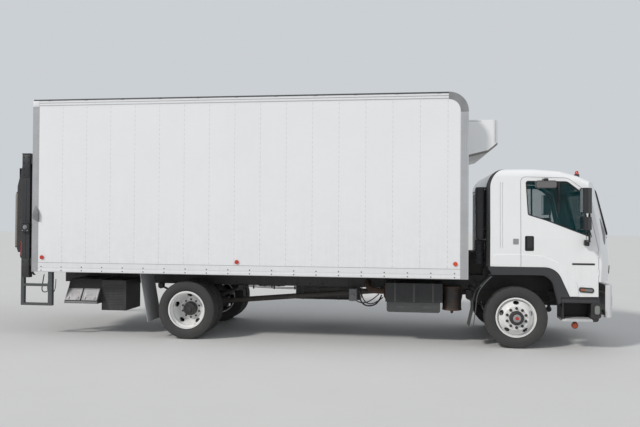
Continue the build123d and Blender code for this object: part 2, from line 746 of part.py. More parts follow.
def box_front_wall():
    body = prism("Y", box_outline(0, 0, BOX_FLOOR_Z - BOX_Z, 0), -BOX_INNER_Y, BOX_INNER_Y)
    body -= prism("Y", box_outline(BOX_FRONT_T, BOX_ROOF_T, -10, -10), -BOX_INNER_Y - 5,
                  BOX_INNER_Y + 5)
    body -= block((fx(BOX_REAR) - 50, fx(NOSE_START)), (-BOX_HALF_W, BOX_HALF_W),
                  (0, BOX_TOP_Z + 5))
    return body


save("box_front_wall", [box_front_wall()])
save("box_roof", [block((fx(BOX_REAR + BOX_REAR_POST_W), fx(NOSE_START)),
                        (-BOX_INNER_Y, BOX_INNER_Y),
                        (BOX_TOP_Z - BOX_ROOF_T, BOX_TOP_Z - BOX_SKIN_INSET))])

# Rear portal of the box and its roll-up door of hinged slats
PORTAL_HALF_W = BOX_HALF_W - 130
PORTAL_TOP = BOX_TOP_Z - 220
DOOR_SLATS = 7
SLAT_T = 40


def box_rear_frame():
    rear = fx(BOX_REAR)
    body = block((rear, rear + BOX_REAR_POST_W), (-BOX_HALF_W, BOX_HALF_W), (BOX_Z, BOX_TOP_Z))
    body -= block((rear - 5, rear + BOX_REAR_POST_W + 5), (-PORTAL_HALF_W, PORTAL_HALF_W),
                  (BOX_FLOOR_Z + BOX_FLOOR_T, PORTAL_TOP))
    return body


save("box_rear_frame", [box_rear_frame()])


def roll_door():
    rear = fx(BOX_REAR) + 25
    low = BOX_FLOOR_Z + BOX_FLOOR_T + SEAT_GAP
    high = PORTAL_TOP - SEAT_GAP
    body = block((rear, rear + SLAT_T), (-PORTAL_HALF_W + SEAT_GAP, PORTAL_HALF_W - SEAT_GAP),
                 (low, high))
    for n in range(1, DOOR_SLATS):
        z = low + (high - low) * n / DOOR_SLATS
        body -= block((rear - 5, rear + 12), (-PORTAL_HALF_W, PORTAL_HALF_W), (z - 5, z + 5))
    return body


save("roll_door", [roll_door()])


# Cooling unit on the front wall
COOLER_DROP = 372


def cooling_unit():
    top = BOX_TOP_Z - COOLER_DROP
    profile = [(BOX_FRONT, top - 577), (-404, top - 502, 60), (-250, top - 374, 60),
               (-250, top, 45), (BOX_FRONT, top)]
    body = prism("Y", ahead(profile), -950, 950)
    body &= prism("Z", ahead([
        (BOX_FRONT, -950), (-250, -950, 90), (-250, 950, 90), (BOX_FRONT, 950),
    ]), top - 650, top + 50)
    return body


save("cooling_unit", [cooling_unit()])

# Round side lamps and the tail lamps
MARKER_R = 33
MARKERS = [(BOX_REAR + 181, 1269), (-4230, 1240), (BOX_FRONT - 190, 1262)]


def marker(x, z):
    return rod("Y", (fx(x), -BOX_HALF_W + BOX_SKIN_INSET - 9 - SEAT_GAP, z), MARKER_R, 18)


lamps = []
for x, z in MARKERS:
    lamps += both(marker(x, z))
lamps += both(block((fx(LIFT_COLUMN_X) - 18, fx(LIFT_COLUMN_X) - SEAT_GAP),
                    (-LIFT_Y - 35, -LIFT_Y + 35), (BOX_Z + 255, BOX_Z + 485)))
save("marker_lamps", lamps)


# The cab: one form gives shell, doors and glass
CAB_FRONT = [
    # height, front of the face
    (650, 1358),
    (1250, 1392),
    (1700, 1356),
    (2450, 1170),
    (2800, 1083),
]
CAB_ROOF = [
    # X from the front axle, roof height
    (-500, 2690),
    (250, 2690),
    (640, 2658),
    (900, 2585),
    (1180, 2455),
    (1500, 2306),
]


def cab_plan(front, inset):
    rear = CAB_REAR + inset
    side = CAB_HALF_W - inset
    nose = front - inset
    return outline(ahead([
        (rear, -side, 110), (rear + 600, -side - 60), (nose - 700, -side - 210),
        (nose - 170, -side, 160), (nose, -side + 230, 250), (nose, side - 230, 250),
        (nose - 170, side, 160), (nose - 700, side + 210), (rear + 600, side + 60),
        (rear, side, 110),
    ]))


def cab_section(top, inset):
    low = 600
    side = CAB_HALF_W - inset
    shoulder = side - (top - inset - CAB_BELT_Z) * CAB_TUMBLE
    return outline([
        (-side, low), (side, low), (side, CAB_BELT_Z), (shoulder, top - inset, CAB_ROOF_R - inset),
        (-shoulder, top - inset, CAB_ROOF_R - inset), (-side, CAB_BELT_Z),
    ])


def cab_form(inset):
    """Outer form of the cab, or the same form set in by a wall."""
    plans = [Plane.XY.offset(z) * cab_plan(front, inset) for z, front in CAB_FRONT]
    length = loft(plans, ruled=True)
    face = Plane(origin=(0, 0, 0), x_dir=(0, 1, 0), z_dir=(1, 0, 0))
    width = loft([face.offset(fx(x)) * cab_section(top, inset) for x, top in CAB_ROOF], ruled=True)
    rear = CAB_REAR + inset
    top = CAB_ROOF[0][1]
    corner = prism("Y", ahead([
        (rear, 600), (1500, 600), (1500, top + 60), (rear + CAB_BACK_R + 5, top + 60),
        (rear + CAB_BACK_R + 5, top - inset), (rear, top - inset, CAB_BACK_R),
    ]), -1200, 1200)
    return (length & width) & corner


FENDER_EDGE = [
    (-335, 1406, 40), (64, 1413), (409, 1388, 250), (623, 1288, 200), (765, 1113, 200),
    (865, 1011, 100), (900, 790), (-335, 790),
]
FENDER_RISE = 10


def fender():
    """Raised lower side round the wheel arch, bevelled along its crease."""
    body = prism("Y", ahead(FENDER_EDGE), -CAB_HALF_W - FENDER_RISE, -CAB_HALF_W + 10)
    crease = body.faces().sort_by(Axis.Y)[0].edges()
    return chamfer(crease, FENDER_RISE - 1)


CAB_OUTER = cab_form(0) + both(fender())
CAB_INNER = cab_form(CAB_WALL)

CAB_SILL_Z = 1222
DOOR_EDGE = [
    (66, CAB_SILL_Z), (66, 2566, 70), (740, 2545, 150), (974, 2368, 80), (1167, 1487, 100),
    (1167, 797), (766, 789), (571, CAB_SILL_Z, 260),
]
WINDOW_EDGE = [
    (133, 2508, 40), (163, 1995, 40), (420, 1915, 120), (1078, 1660, 40), (922, 2352, 60),
    (735, 2500, 100),
]
CAB_EDGE = [
    (-500, CAB_SILL_Z), (300, CAB_SILL_Z), (300, 1300), (1100, 1300), (1100, 1018), (1500, 1018),
    (1500, 2750), (-500, 2750),
]
WINDSCREEN_EDGE = [
    # Y, Z
    (-900, 1700, 90), (900, 1700, 90), (868, 2395, 110), (-868, 2395, 110),
]
GRILLE_EDGE = [(-600, 1110, 30), (600, 1110, 30), (640, 1390, 30), (-640, 1390, 30)]
GRILLE_BARS = 4
GRILLE_PITCH = 58
GRILLE_SLOT = 34
GRILLE_SLOT_HALF_W = 560


def grown(corners, by):
    """Closed face grown or shrunk all round."""
    return offset(outline(corners), by)


def through_side(corners, by):
    """Outline of a side panel, grown or shrunk, driven through the cab's right side."""
    plane = Plane(origin=(0, -1300, 0), x_dir=(1, 0, 0), z_dir=(0, -1, 0))
    return extrude(plane * grown(ahead(corners), by), -700)


def through_front(corners, by):
    """Outline on the cab's front, grown or shrunk, driven through the front wall."""
    plane = Plane(origin=(fx(880), 0, 0), x_dir=(0, 1, 0), z_dir=(1, 0, 0))
    return extrude(plane * grown(corners, by), 620)


# Door hinges: the door's barrel and pin stand under the barrel on the cab's front post
def hinge(low, high, radius):
    at = (fx(DOOR_HINGE_X), -DOOR_HINGE_Y, (low + high) / 2)
    return rod("Z", at, radius, high - low)


def cab_side_y(z, inset=0):
    """Y of the cab's right side at a height, set in by a depth."""
    return -CAB_HALF_W + inset + max(0, z - CAB_BELT_Z) * CAB_TUMBLE


GROOVE_X = (-240, -190)
GROOVE_Z = (1500, 2480)
GROOVE_DEPTH = 12
GROOVE_RIB = 8


def quarter_groove():
    """Upright groove behind the door, with a rib left along its middle."""
    low, high = GROOVE_Z
    back, front = GROOVE_X
    middle = (back + front) / 2
    section = [(-1200, low)]
    section += [(cab_side_y(z, GROOVE_DEPTH), z) for z in (low, CAB_BELT_Z, high)]
    section += [(-1200, high)]
    rear_half = prism("X", section, fx(back), fx(middle - GROOVE_RIB))
    return rear_half + prism("X", section, fx(middle + GROOVE_RIB), fx(front))


def cab_shell():
    body = CAB_OUTER - CAB_INNER
    body &= prism("Y", ahead(CAB_EDGE), -1200, 1200)
    body -= both(through_side(DOOR_EDGE, DOOR_GAP))
    body -= through_front(WINDSCREEN_EDGE, 0)
    body -= through_front(GRILLE_EDGE, 0)
    body -= block((fx(CAB_REAR - 20), fx(CAB_REAR + CAB_WALL + 5)),
                  (-TUNNEL_HALF_W, TUNNEL_HALF_W), (CAB_FLOOR_Z, TUNNEL_TOP - 60))
    body -= both(quarter_groove())
    for z in HINGE_Z:
        middle = z + HINGE_L
        body -= both(hinge(z - RUNNING_GAP, middle + SEAT_GAP, HINGE_R + HINGE_ROOM))
        body += both(hinge(middle + SEAT_GAP, middle + HINGE_L, HINGE_R))
        body -= both(hinge(z, middle + HINGE_L - 5, HINGE_PIN_R + PIN_CLEARANCE))
    return body


save("cab_shell", [cab_shell()])

HANDLE_EDGE = [(121, 1459, 20), (251, 1459, 20), (251, 1683, 20), (121, 1683, 20)]
HANDLE_DEPTH = 22


def cab_door():
    body = (CAB_OUTER - CAB_INNER) & through_side(DOOR_EDGE, 0)
    body -= through_side(WINDOW_EDGE, 0)
    body -= prism("Y", ahead(HANDLE_EDGE), -CAB_HALF_W - 10, -CAB_HALF_W + HANDLE_DEPTH)
    for z in HINGE_Z:
        middle = z + HINGE_L
        body -= hinge(middle, middle + HINGE_L + RUNNING_GAP, HINGE_R + HINGE_ROOM)
        body += hinge(z, middle, HINGE_R)
        body += hinge(z, middle + HINGE_L - 15, HINGE_PIN_R)
    return body


right_door, left_door = both(cab_door())
save("door_right", [right_door])
save("door_left", [left_door])

GLASS_SHEET = cab_form(GLASS_INSET) - cab_form(GLASS_INSET + GLASS_T)
door_glass_right, door_glass_left = both(GLASS_SHEET & through_side(WINDOW_EDGE, -SEAT_GAP))
save("door_glass_right", [door_glass_right])
save("door_glass_left", [door_glass_left])
save("windscreen", [GLASS_SHEET & through_front(WINDSCREEN_EDGE, -SEAT_GAP)])


def front_grille():
    """Black frame with level bars in the opening under the windscreen."""
    panel = (cab_form(4) - cab_form(CAB_WALL - 6)) & through_front(GRILLE_EDGE, -SEAT_GAP)
    for n in range(GRILLE_BARS):
        z = GRILLE_EDGE[0][1] + 40 + n * GRILLE_PITCH
        panel -= block((fx(1200), fx(1500)), (-GRILLE_SLOT_HALF_W, GRILLE_SLOT_HALF_W),
                       (z, z + GRILLE_SLOT))
    return panel


save("front_grille", [front_grille()])

# Inside the cab
SEAT_Y = 590
SEAT_HALF_W = 240
SEAT_Z = 1530
STEP_WELL_X = (690, 1055)
STEP_WELL_Y = (-1030, -750)
STEP_WELL_T = 12
CAB_STEP_TOP = 775
TILT_ARM_Y = (-486, -RAIL_OUTER_Y - RUNNING_GAP)


def tilt_arm():
    """Arm from the floor round to the tilt pin, outside the frame rail."""
    x = CAB_TILT_X
    z = CAB_TILT_Z
    arm = prism("Y", ahead([
        (x + TILT_EYE_R, z - TILT_EYE_R, 40), (x + TILT_EYE_R, z + TILT_EYE_R, 40),
        (960, z + 66, 30), (960, CAB_FLOOR_Z), (880, CAB_FLOOR_Z), (880, z - 20, 60),
    ]), *TILT_ARM_Y)
    low = TILT_ARM_Y[0]
    high = -RAIL_OUTER_Y + TILT_LUG_T + RUNNING_GAP
    return arm + rod("Y", (fx(x), (low + high) / 2, z), TILT_PIN_R, high - low)


def cab_floor():
    """Floor pan with engine tunnel, seat stands, tilt arms and a notch for each step well."""
    rear = CAB_REAR + CAB_WALL + SEAT_GAP
    half = -STEP_WELL_Y[0]
    top = CAB_FLOOR_Z + CAB_FLOOR_T
    pan = prism("Z", ahead([
        (rear, -half), (1120, -half), (1290, -820), (1290, 820), (1120, half), (rear, half),
    ]), CAB_FLOOR_Z, top)
    pan += block((fx(rear), fx(760)), (-TUNNEL_HALF_W, TUNNEL_HALF_W), (CAB_FLOOR_Z, TUNNEL_TOP))
    pan -= block((fx(rear) - 5, fx(700)), (-TUNNEL_HALF_W + 40, TUNNEL_HALF_W - 40),
                 (CAB_FLOOR_Z - 5, TUNNEL_TOP - 40))
    back, front = STEP_WELL_X
    outer, inner = STEP_WELL_Y
    notch = block((fx(back) - SEAT_GAP, fx(front) + SEAT_GAP), (outer - 5, inner + SEAT_GAP),
                  (CAB_FLOOR_Z - 5, top + 5))
    stand = block((fx(-40), fx(400)), (-SEAT_Y - SEAT_HALF_W + 20, -TUNNEL_HALF_W + 5),
                  (top, SEAT_Z - SEAT_GAP))
    for piece in (stand, tilt_arm()):
        for twin in both(piece):
            pan += twin
    for twin in both(notch):
        pan -= twin
    return pan


save("cab_floor", [cab_floor()])

STEERING_WHEEL_R = 205
STEERING_GRIP_R = 16
STEERING_TILT = -35


def dashboard():
    """Fascia across the front wall, with the steering column and wheel."""
    fascia = prism("Y", ahead([
        (880, 1330, 30), (800, 1560, 50), (930, 1690, 60), (1500, 1690), (1500, 1330),
    ]), -1020, 1020)
    fascia &= cab_form(CAB_WALL + SEAT_GAP)
    place = Pos(fx(660), SEAT_Y, 1735) * Rot(0, STEERING_TILT, 0)
    fascia += place * Pos(0, 0, -175) * Cylinder(32, 350)
    fascia += place * Torus(STEERING_WHEEL_R, STEERING_GRIP_R)
    fascia += place * Box(34, 2 * STEERING_WHEEL_R, 14)
    return fascia


save("dashboard", [dashboard()])


def seat(y):
    return prism("Y", ahead([
        (-60, SEAT_Z, 20), (430, SEAT_Z, 50), (450, 1660, 50), (70, 1650, 40), (-90, 2250, 50),
        (-200, 2240, 50),
    ]), y - SEAT_HALF_W, y + SEAT_HALF_W)


save("seats", both(seat(-SEAT_Y)))


def flare():
    """Dark moulded edge of the wheel arch under the cab's side."""
    profile = [
        (-418, CAB_SILL_Z - SEAT_GAP), (52, CAB_SILL_Z - SEAT_GAP), (60, CAB_SILL_Z - RUNNING_GAP),
        (566, CAB_SILL_Z - RUNNING_GAP, 255), (757, 782), (636, 782), (634, 696), (596, 681),
        (490, 1103, 200), (-356, 1092),
    ]
    return prism("Y", ahead(profile), -1108, -1045)


save("arch_flares", both(flare()))

CAB_STEP_X = (644, 1172)
CAB_STEP_Z = 430
CAB_STEP_TREAD = 452


def cab_step():
    """Step box under the door with a solid lamp corner, and the upper step's well on top."""
    t = STEP_WELL_T
    back, front = STEP_WELL_X
    outer, inner = STEP_WELL_Y
    well = block((fx(back), fx(front)), (outer, inner),
                 (CAB_STEP_TOP - 5, CAB_FLOOR_Z + CAB_FLOOR_T))
    well -= block((fx(back + t), fx(front - t)), (outer - t, inner - t),
                  (CAB_STEP_TOP + t, CAB_FLOOR_Z + CAB_FLOOR_T + 5))
    back, front = CAB_STEP_X
    body = prism("Y", ahead([
        (back + 12, CAB_STEP_Z, 15), (front, CAB_STEP_Z, 40), (front, CAB_STEP_TOP),
        (back, CAB_STEP_TOP), (back, 700), (back + 12, 690),
    ]), -1098, -760)
    return well + (body - block((fx(675), fx(1085)), (-1200, -790), (CAB_STEP_TREAD, 700)))


save("cab_steps", both(cab_step()))

LAMP_Y = [-900, -190, 0, 190, 900]
ROOF_LAMP_X = 905
ROOF_LAMP_TOP = 2662
CAB_SEAT_FORM = cab_form(-SEAT_GAP)


def roof_lamp(y):
    dome = Pos(fx(ROOF_LAMP_X), y, ROOF_LAMP_TOP - 25) * Cone(31, 20, 50)
    foot = Pos(fx(ROOF_LAMP_X), y, ROOF_LAMP_TOP - 80) * Cylinder(38, 60)
    return (dome + foot) - CAB_SEAT_FORM


save("roof_lamps", [roof_lamp(y) for y in LAMP_Y])


def mirrors():
    """Main and wide-angle heads on one arm from the door's front corner."""
    head = prism("Z", ahead([
        (872, -1425, 20), (930, -1425, 20), (1010, -1330, 30), (1000, -1240, 20), (868, -1240, 20),
    ]), 2020, 2385)
    low = prism("Z", ahead([
        (876, -1420, 20), (930, -1420, 20), (1008, -1330, 30), (1000, -1250, 20), (872, -1250, 20),
    ]), 1780, 1968)
    arm = rod("Z", (fx(985), -1290, 1990), 14, 760)
    top = block((fx(905), fx(931)), (-1290, -1056), (2364, 2388))
    foot = prism("Y", ahead([
        (954, 1550, 20), (1022, 1540, 20), (1022, 1632, 20), (960, 1636, 20),
    ]), -1160, -CAB_HALF_W - SEAT_GAP)
    link = block((fx(972), fx(998)), (-1300, -1150), (1604, 1630))
    return head + low + arm + top + foot + link


LOW_VIEW_X = (241, 545)
LOW_VIEW_Z = (2385, 2500)


def low_view_mirror():
    """Flat mirror over the right window that looks down the side, on a strap from the door."""
    back, front = LOW_VIEW_X
    low, high = LOW_VIEW_Z
    head = prism("Y", ahead([
        (back, low, 35), (front, low, 35), (front, high, 35), (back, high, 35),
    ]), -1250, -1205)
    middle = (back + front) / 2
    strap = block((fx(middle - 25), fx(middle + 25)), (-1235, cab_side_y(high + 20) - SEAT_GAP),
                  (high + 20, high + 30))
    return head + strap + block((fx(middle - 25), fx(middle + 25)), (-1235, -1215),
                                (high - 20, high + 30))


right_mirrors, left_mirrors = both(mirrors())
save("mirrors_right", [right_mirrors, low_view_mirror()])
save("mirrors_left", [left_mirrors])

# Tail lift
LIFT_EXTENSION_Z = 1130
LIFT_SHOE_Z = (2010, 2400)
LIFT_LEG_W = 70
LIFT_LEG_Z = 1180
LIFT_BEAM_Z = (1300, 1410)
LIFT_LUG_T = 40
LIFT_LEAF_T = 52
LIFT_LEAF_Z = (1405, 2340)
SHOE_GAP = SEAT_GAP


def lift_column():
    """Channel open towards the truck's middle, bracketed to the rear portal."""
    x = fx(LIFT_COLUMN_X)
    t = LIFT_COLUMN_T
    depth = LIFT_COLUMN_D
    outer = -LIFT_Y - LIFT_COLUMN_W / 2
    inner = outer + LIFT_COLUMN_W
    section = [
        (x, inner), (x, outer, 6), (x + depth, outer, 6), (x + depth, inner),
        (x + depth - t, inner), (x + depth - t, outer + t), (x + t, outer + t), (x + t, inner),
    ]
    body = prism("Z", section, LIFT_COLUMN_Z, LIFT_COLUMN_TOP)
    top = LIFT_COLUMN_TOP - LIFT_BRACKET_DROP
    return body + block((x + depth - t, fx(BOX_REAR)), (outer + 10, inner), (top, top + 90))


def lift_columns():
    """Both columns and the plate that carries the floor out to the platform."""
    right, left = both(lift_column())
    x = fx(LIFT_COLUMN_X) + LIFT_COLUMN_D
    plate = block((x - 1, fx(BOX_REAR)), (-LIFT_Y - 30, LIFT_Y + 30),
                  (LIFT_EXTENSION_Z, BOX_FLOOR_Z + BOX_FLOOR_T))
    return right + left + plate


save("lift_columns", [lift_columns()])


def lift_carriage():
    """Legs on shoes that run in the columns, with a beam and the platform's hinge lugs."""
    x = fx(LIFT_COLUMN_X)
    wall = LIFT_COLUMN_T + SHOE_GAP
    depth = (x + wall, x + LIFT_COLUMN_D - wall)
    leg_outer = LIFT_Y - LIFT_COLUMN_W / 2 - RUNNING_GAP
    leg_inner = leg_outer - LIFT_LEG_W
    shoe = block(depth, (-LIFT_Y - LIFT_COLUMN_W / 2 + wall, -leg_inner), LIFT_SHOE_Z)
    leg = block(depth, (-leg_outer, -leg_inner), (LIFT_LEG_Z, LIFT_SHOE_Z[1]))
    lug_y = -LIFT_PLATE_HALF_W - RUNNING_GAP
    pin_x = LIFT_PLATE_PIN_X
    pin_z = LIFT_PLATE_PIN_Z
    lug = prism("Y", ahead([
        (pin_x - 40, pin_z - 40, 38), (LIFT_COLUMN_X + 40, pin_z - 40), (LIFT_COLUMN_X + 40, 1400),
        (pin_x - 40, pin_z + 50, 38),
    ]), lug_y - LIFT_LUG_T, lug_y)
    lug -= rod("Y", (fx(pin_x), lug_y, pin_z), LIFT_PLATE_R + PIN_CLEARANCE, 4 * LIFT_LUG_T)
    body = block((depth[0], depth[0] + 40), (-leg_inner - 5, leg_inner + 5), LIFT_BEAM_Z)
    for piece in (shoe, leg, lug):
        for twin in both(piece):
            body += twin
    return body


save("lift_carriage", [lift_carriage()])


def lift_platform():
    """Stowed upright: a tapered plate with its hinge tube at the foot and a leaf folded on it."""
    x = LIFT_PLATE_PIN_X
    z = LIFT_PLATE_PIN_Z
    tip = z + LIFT_PLATE_L
    rear = -REAR_OVERHANG - WHEELBASE
    back = rear + LIFT_LEAF_T + RUNNING_GAP
    body = prism("Y", ahead([
        (x - 30, z + 60), (back + 20, z + 60, 15), (back, z + 120), (back, tip - 330),
        (x - 45, tip, 6), (x - 30, tip, 6),
    ]), -LIFT_PLATE_HALF_W, LIFT_PLATE_HALF_W)
    low, high = LIFT_LEAF_Z
    leaf_half_w = LIFT_PLATE_HALF_W - 40
    leaf = prism("Y", ahead([
        (rear, low, 12), (rear + LIFT_LEAF_T, low), (rear + LIFT_LEAF_T, high),
        (rear + 20, high, 8), (rear, high - 60),
    ]), -leaf_half_w, leaf_half_w)
    for level in (low + 20, high - 60):
        leaf += block((fx(rear) + 10, fx(back) + 2), (-leaf_half_w + 60, leaf_half_w - 60),
                      (level, level + 30))
    body += leaf
    body += rod("Y", (fx(x), 0, z), LIFT_PLATE_R, 2 * (LIFT_PLATE_HALF_W + RUNNING_GAP + LIFT_LUG_T + 20))
    bracket = prism("Y", ahead([
        (x - 60, z - 30, 25), (x + 30, z - 30, 25), (x + 20, z + 70), (x - 60, z + 110),
    ]), -LIFT_PLATE_HALF_W, -LIFT_PLATE_HALF_W + 90)
    for twin in both(bracket):
        body += twin
    return body


save("lift_platform", [lift_platform()])

# Step frames that hang under the box's rear corners
STEP_POSTS = [
    # back, front, top
    (LIFT_COLUMN_X, LIFT_COLUMN_X + 52, LIFT_COLUMN_Z),
    (BOX_REAR + 279, BOX_REAR + 348, BOX_Z),
]
STEP_BARS = [(490, 530), (800, 840)]
STEP_FRAME_Y = (-BOX_HALF_W + 15, -BOX_HALF_W + 75)


def step_frame():
    body = None
    for back, front, top in STEP_POSTS:
        post = block((fx(back), fx(front)), STEP_FRAME_Y, (STEP_BARS[0][0], top))
        body = post if body is None else body + post
    for bar in STEP_BARS:
        body += block((fx(STEP_POSTS[0][0]), fx(STEP_POSTS[1][1])), STEP_FRAME_Y, bar)
    return body


save("step_frames", both(step_frame()))
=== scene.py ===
import math

import bmesh
import bpy
from mathutils import Matrix, Vector, noise


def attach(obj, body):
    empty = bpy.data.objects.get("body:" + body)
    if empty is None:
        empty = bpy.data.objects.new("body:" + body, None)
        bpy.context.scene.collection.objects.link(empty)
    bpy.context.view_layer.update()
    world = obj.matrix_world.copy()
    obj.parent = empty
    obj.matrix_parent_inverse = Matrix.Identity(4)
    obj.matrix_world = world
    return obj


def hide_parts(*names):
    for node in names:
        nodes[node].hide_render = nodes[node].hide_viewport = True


# Refrigerated truck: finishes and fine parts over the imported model.
# Metres. +X forward, +Y to the truck's left, +Z up, the ground at 0.

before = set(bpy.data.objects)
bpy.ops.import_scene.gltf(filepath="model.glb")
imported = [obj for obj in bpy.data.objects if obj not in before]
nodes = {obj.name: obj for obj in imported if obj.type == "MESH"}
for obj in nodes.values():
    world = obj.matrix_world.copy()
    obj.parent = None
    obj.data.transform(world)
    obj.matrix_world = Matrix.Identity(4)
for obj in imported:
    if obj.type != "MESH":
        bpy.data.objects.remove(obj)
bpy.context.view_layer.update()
scene = bpy.context.scene

FRONT_AXLE = 3.36
REAR_AXLE = -1.72
WHEEL_Z = 0.46
FRONT_TYRE_Y = 0.965
REAR_TYRES_Y = (1.060, 0.770)
BOLT_CIRCLE_R = 0.1429
BOX_Y = 1.295
BOX_LOW = 1.035
BOX_TOP = 3.82
BOX_FRONT = 2.638
BOX_REAR = -4.28
SHEET_X = (-4.169, 2.517)
SHEET_Z = (1.186, 3.709)
POST_PITCH = 0.406
POST_RUN = SHEET_X[1] - SHEET_X[0] - 1.45 * POST_PITCH
POSTS = round(POST_RUN / POST_PITCH)
POST_X = [SHEET_X[0] + POST_PITCH + n * POST_RUN / POSTS for n in range(POSTS + 1)]
RIVETS = 33
RIVET_RUN = SHEET_Z[1] - SHEET_Z[0] - 0.06
RIVET_Z = [SHEET_Z[0] + 0.03 + n * RIVET_RUN / RIVETS for n in range(RIVETS + 1)]
SIDES = (-1, 1)
SIDE_NAMES = ((-1, "right"), (1, "left"))


def ax(value):
    """X of a place measured forward from the front axle."""
    return FRONT_AXLE + value


def cab_y(z):
    """Half width of the cab's side at a height."""
    return 1.090 - max(0.0, z - 1.640) / 21


# Shapes
def rounded(bm, geom, offset, segments, affect="EDGES", clamp=True):
    """Rounds edges or corners."""
    return bmesh.ops.bevel(bm, geom=list(geom), offset=offset, segments=segments, profile=0.5,
                           affect=affect, material=-1, clamp_overlap=clamp)


def slab(bm, x, y, z, edge=0.0, turn=None, segments=2):
    """Block between two corners, with rounded edges."""
    pairs = [sorted(pair) for pair in (x, y, z)]
    size = [high - low for low, high in pairs]
    middle = [(high + low) / 2 for low, high in pairs]
    place = Matrix.Translation(middle) @ (turn or Matrix()) @ Matrix.Diagonal((*size, 1))
    made = bmesh.ops.create_cube(bm, size=1, matrix=place)
    if edge:
        rounded(bm, {e for v in made["verts"] for e in v.link_edges}, edge, segments)


def around(middle, half):
    """Two values at the same distance from a middle."""
    return (middle - half, middle + half)


def panel(left, right, low, high, corner):
    """Four corners of an upright rectangle, each with its rounding."""
    return [(left, low, corner), (right, low, corner), (right, high, corner), (left, high, corner)]


def bar(bm, start, end, r, r_end=None, sides=14):
    """Round bar between two points."""
    start, end = Vector(start), Vector(end)
    way = end - start
    place = Matrix.Translation((start + end) / 2) @ way.to_track_quat("Z", "Y").to_matrix().to_4x4()
    bmesh.ops.create_cone(bm, cap_ends=True, segments=sides, radius1=r,
                          radius2=r if r_end is None else r_end, depth=way.length, matrix=place)


def put(axis, u, v, level):
    """Place at a level along an axis, and at (u, v) across it."""
    return {"X": (level, u, v), "Y": (u, level, v), "Z": (u, v, level)}[axis]


def peg(bm, axis, u, v, low, high, r, r_end=None, sides=14):
    """Round bar along an axis, between two levels."""
    bar(bm, put(axis, u, v, low), put(axis, u, v, high), r, r_end, sides)


def facing(axis, start, way=1):
    """Lays flat work square to an axis, from a level on."""
    return lambda u, level, v: put(axis, u, v, start + way * level)


def ring_of(count, r, u, v, part=0.0):
    """Places evenly round a circle, the first one a part of a step on."""
    turns = [2 * math.pi * (n + part) / count for n in range(count)]
    return [(u + r * math.cos(turn), v + r * math.sin(turn)) for turn in turns]


def plate(bm, axis, corners, low, high, corner=0.0, edge=0.0):
    """Flat outline pushed through between two levels, its corners and rims rounded."""
    face = bm.faces.new([bm.verts.new(put(axis, u, v, low)) for u, v in corners])
    made = bmesh.ops.extrude_face_region(bm, geom=[face])
    top = [g for g in made["geom"] if isinstance(g, bmesh.types.BMVert)]
    bmesh.ops.translate(bm, vec=put(axis, 0, 0, high - low), verts=top)
    verts = list(face.verts) + top
    if corner:
        sides = [e for v in top for e in v.link_edges if e.other_vert(v) not in top]
        made = rounded(bm, sides, corner, 4)
        verts = list({v for f in made["faces"] for v in f.verts} | {v for v in verts if v.is_valid})
    if edge:
        faces = {f for v in verts if v.is_valid for f in v.link_faces}
        rims = {e for f in faces for e in f.edges if len(e.link_faces) == 2
                and e.calc_face_angle(0) > 1.2}
        rounded(bm, rims, edge, 2)


def spun(bm, profile, x, z, steps=48, axis="Y"):
    """Outline of (place along the axis, radius) turned once round the axis."""
    verts = [bm.verts.new(put(axis, x, z + r, along)) for along, r in profile]
    chain = [bm.edges.new(pair) for pair in zip(verts, verts[1:])]
    bmesh.ops.spin(bm, geom=verts + chain, cent=put(axis, x, z, 0), axis=put(axis, 0, 0, 1),
                   dvec=(0, 0, 0), angle=2 * math.pi, steps=steps, use_merge=True, use_duplicate=False)
    bmesh.ops.remove_doubles(bm, verts=bm.verts[:], dist=0.00001)


def spun_part(bm, profile, y, z, steps):
    """Outline of (x, radius) turned round a line along the truck, then added to a form."""
    part = bmesh.new()
    spun(part, profile, y, z, steps, "X")
    merge(bm, part)


def spun_upright(bm, profile, x, y, steps):
    """Outline of (height, radius) turned round an upright line."""
    part = bmesh.new()
    spun(part, profile, 0, 0, steps)
    for v in part.verts:
        v.co = (v.co.x + x, v.co.z + y, v.co.y)
    merge(bm, part)


def pipe(bm, points, r):
    """Bent pipe, hose or rod along a line of points."""
    line = bpy.data.curves.new("line", "CURVE")
    line.dimensions = "3D"
    line.bevel_depth = r
    line.bevel_resolution = 2
    line.resolution_u = 6
    line.use_fill_caps = True
    spline = line.splines.new("NURBS")
    spline.points.add(len(points) - 1)
    for point, place in zip(spline.points, points):
        point.co = (*place, 1)
    spline.order_u = 3
    spline.use_endpoint_u = True
    holder = bpy.data.objects.new("line", line)
    mesh = bpy.data.meshes.new_from_object(holder)
    bm.from_mesh(mesh)
    bpy.data.objects.remove(holder)
    bpy.data.curves.remove(line)
    bpy.data.meshes.remove(mesh)


def rivets(bm, places, way, r=0.004, height=0.0016, sides=6):
    """Low round heads, each on its place and facing one way."""
    way = Vector(way)
    turn = way.to_track_quat("Z", "Y").to_matrix().to_4x4()
    for place in places:
        bmesh.ops.create_cone(bm, cap_ends=True, segments=sides, radius1=r, radius2=r * 0.6,
                              depth=height,
                              matrix=Matrix.Translation(Vector(place) + way * height / 2) @ turn)


def row(start, end, pitch):
    """Evenly spaced values from start to end, near the pitch."""
    count = max(1, round((end - start) / pitch))
    return [start + (end - start) * n / count for n in range(count + 1)]


def mesh_of(name, bm):
    """Turns a worked form into a mesh and frees the form."""
    mesh = bpy.data.meshes.new(name)
    bm.to_mesh(mesh)
    bm.free()
    return mesh


def merge(bm, part):
    """Adds a part to a form and frees the part."""
    mesh = mesh_of("part", part)
    bm.from_mesh(mesh)
    bpy.data.meshes.remove(mesh)


def new_object(name, data):
    obj = bpy.data.objects.new(name, data)
    scene.collection.objects.link(obj)
    return obj


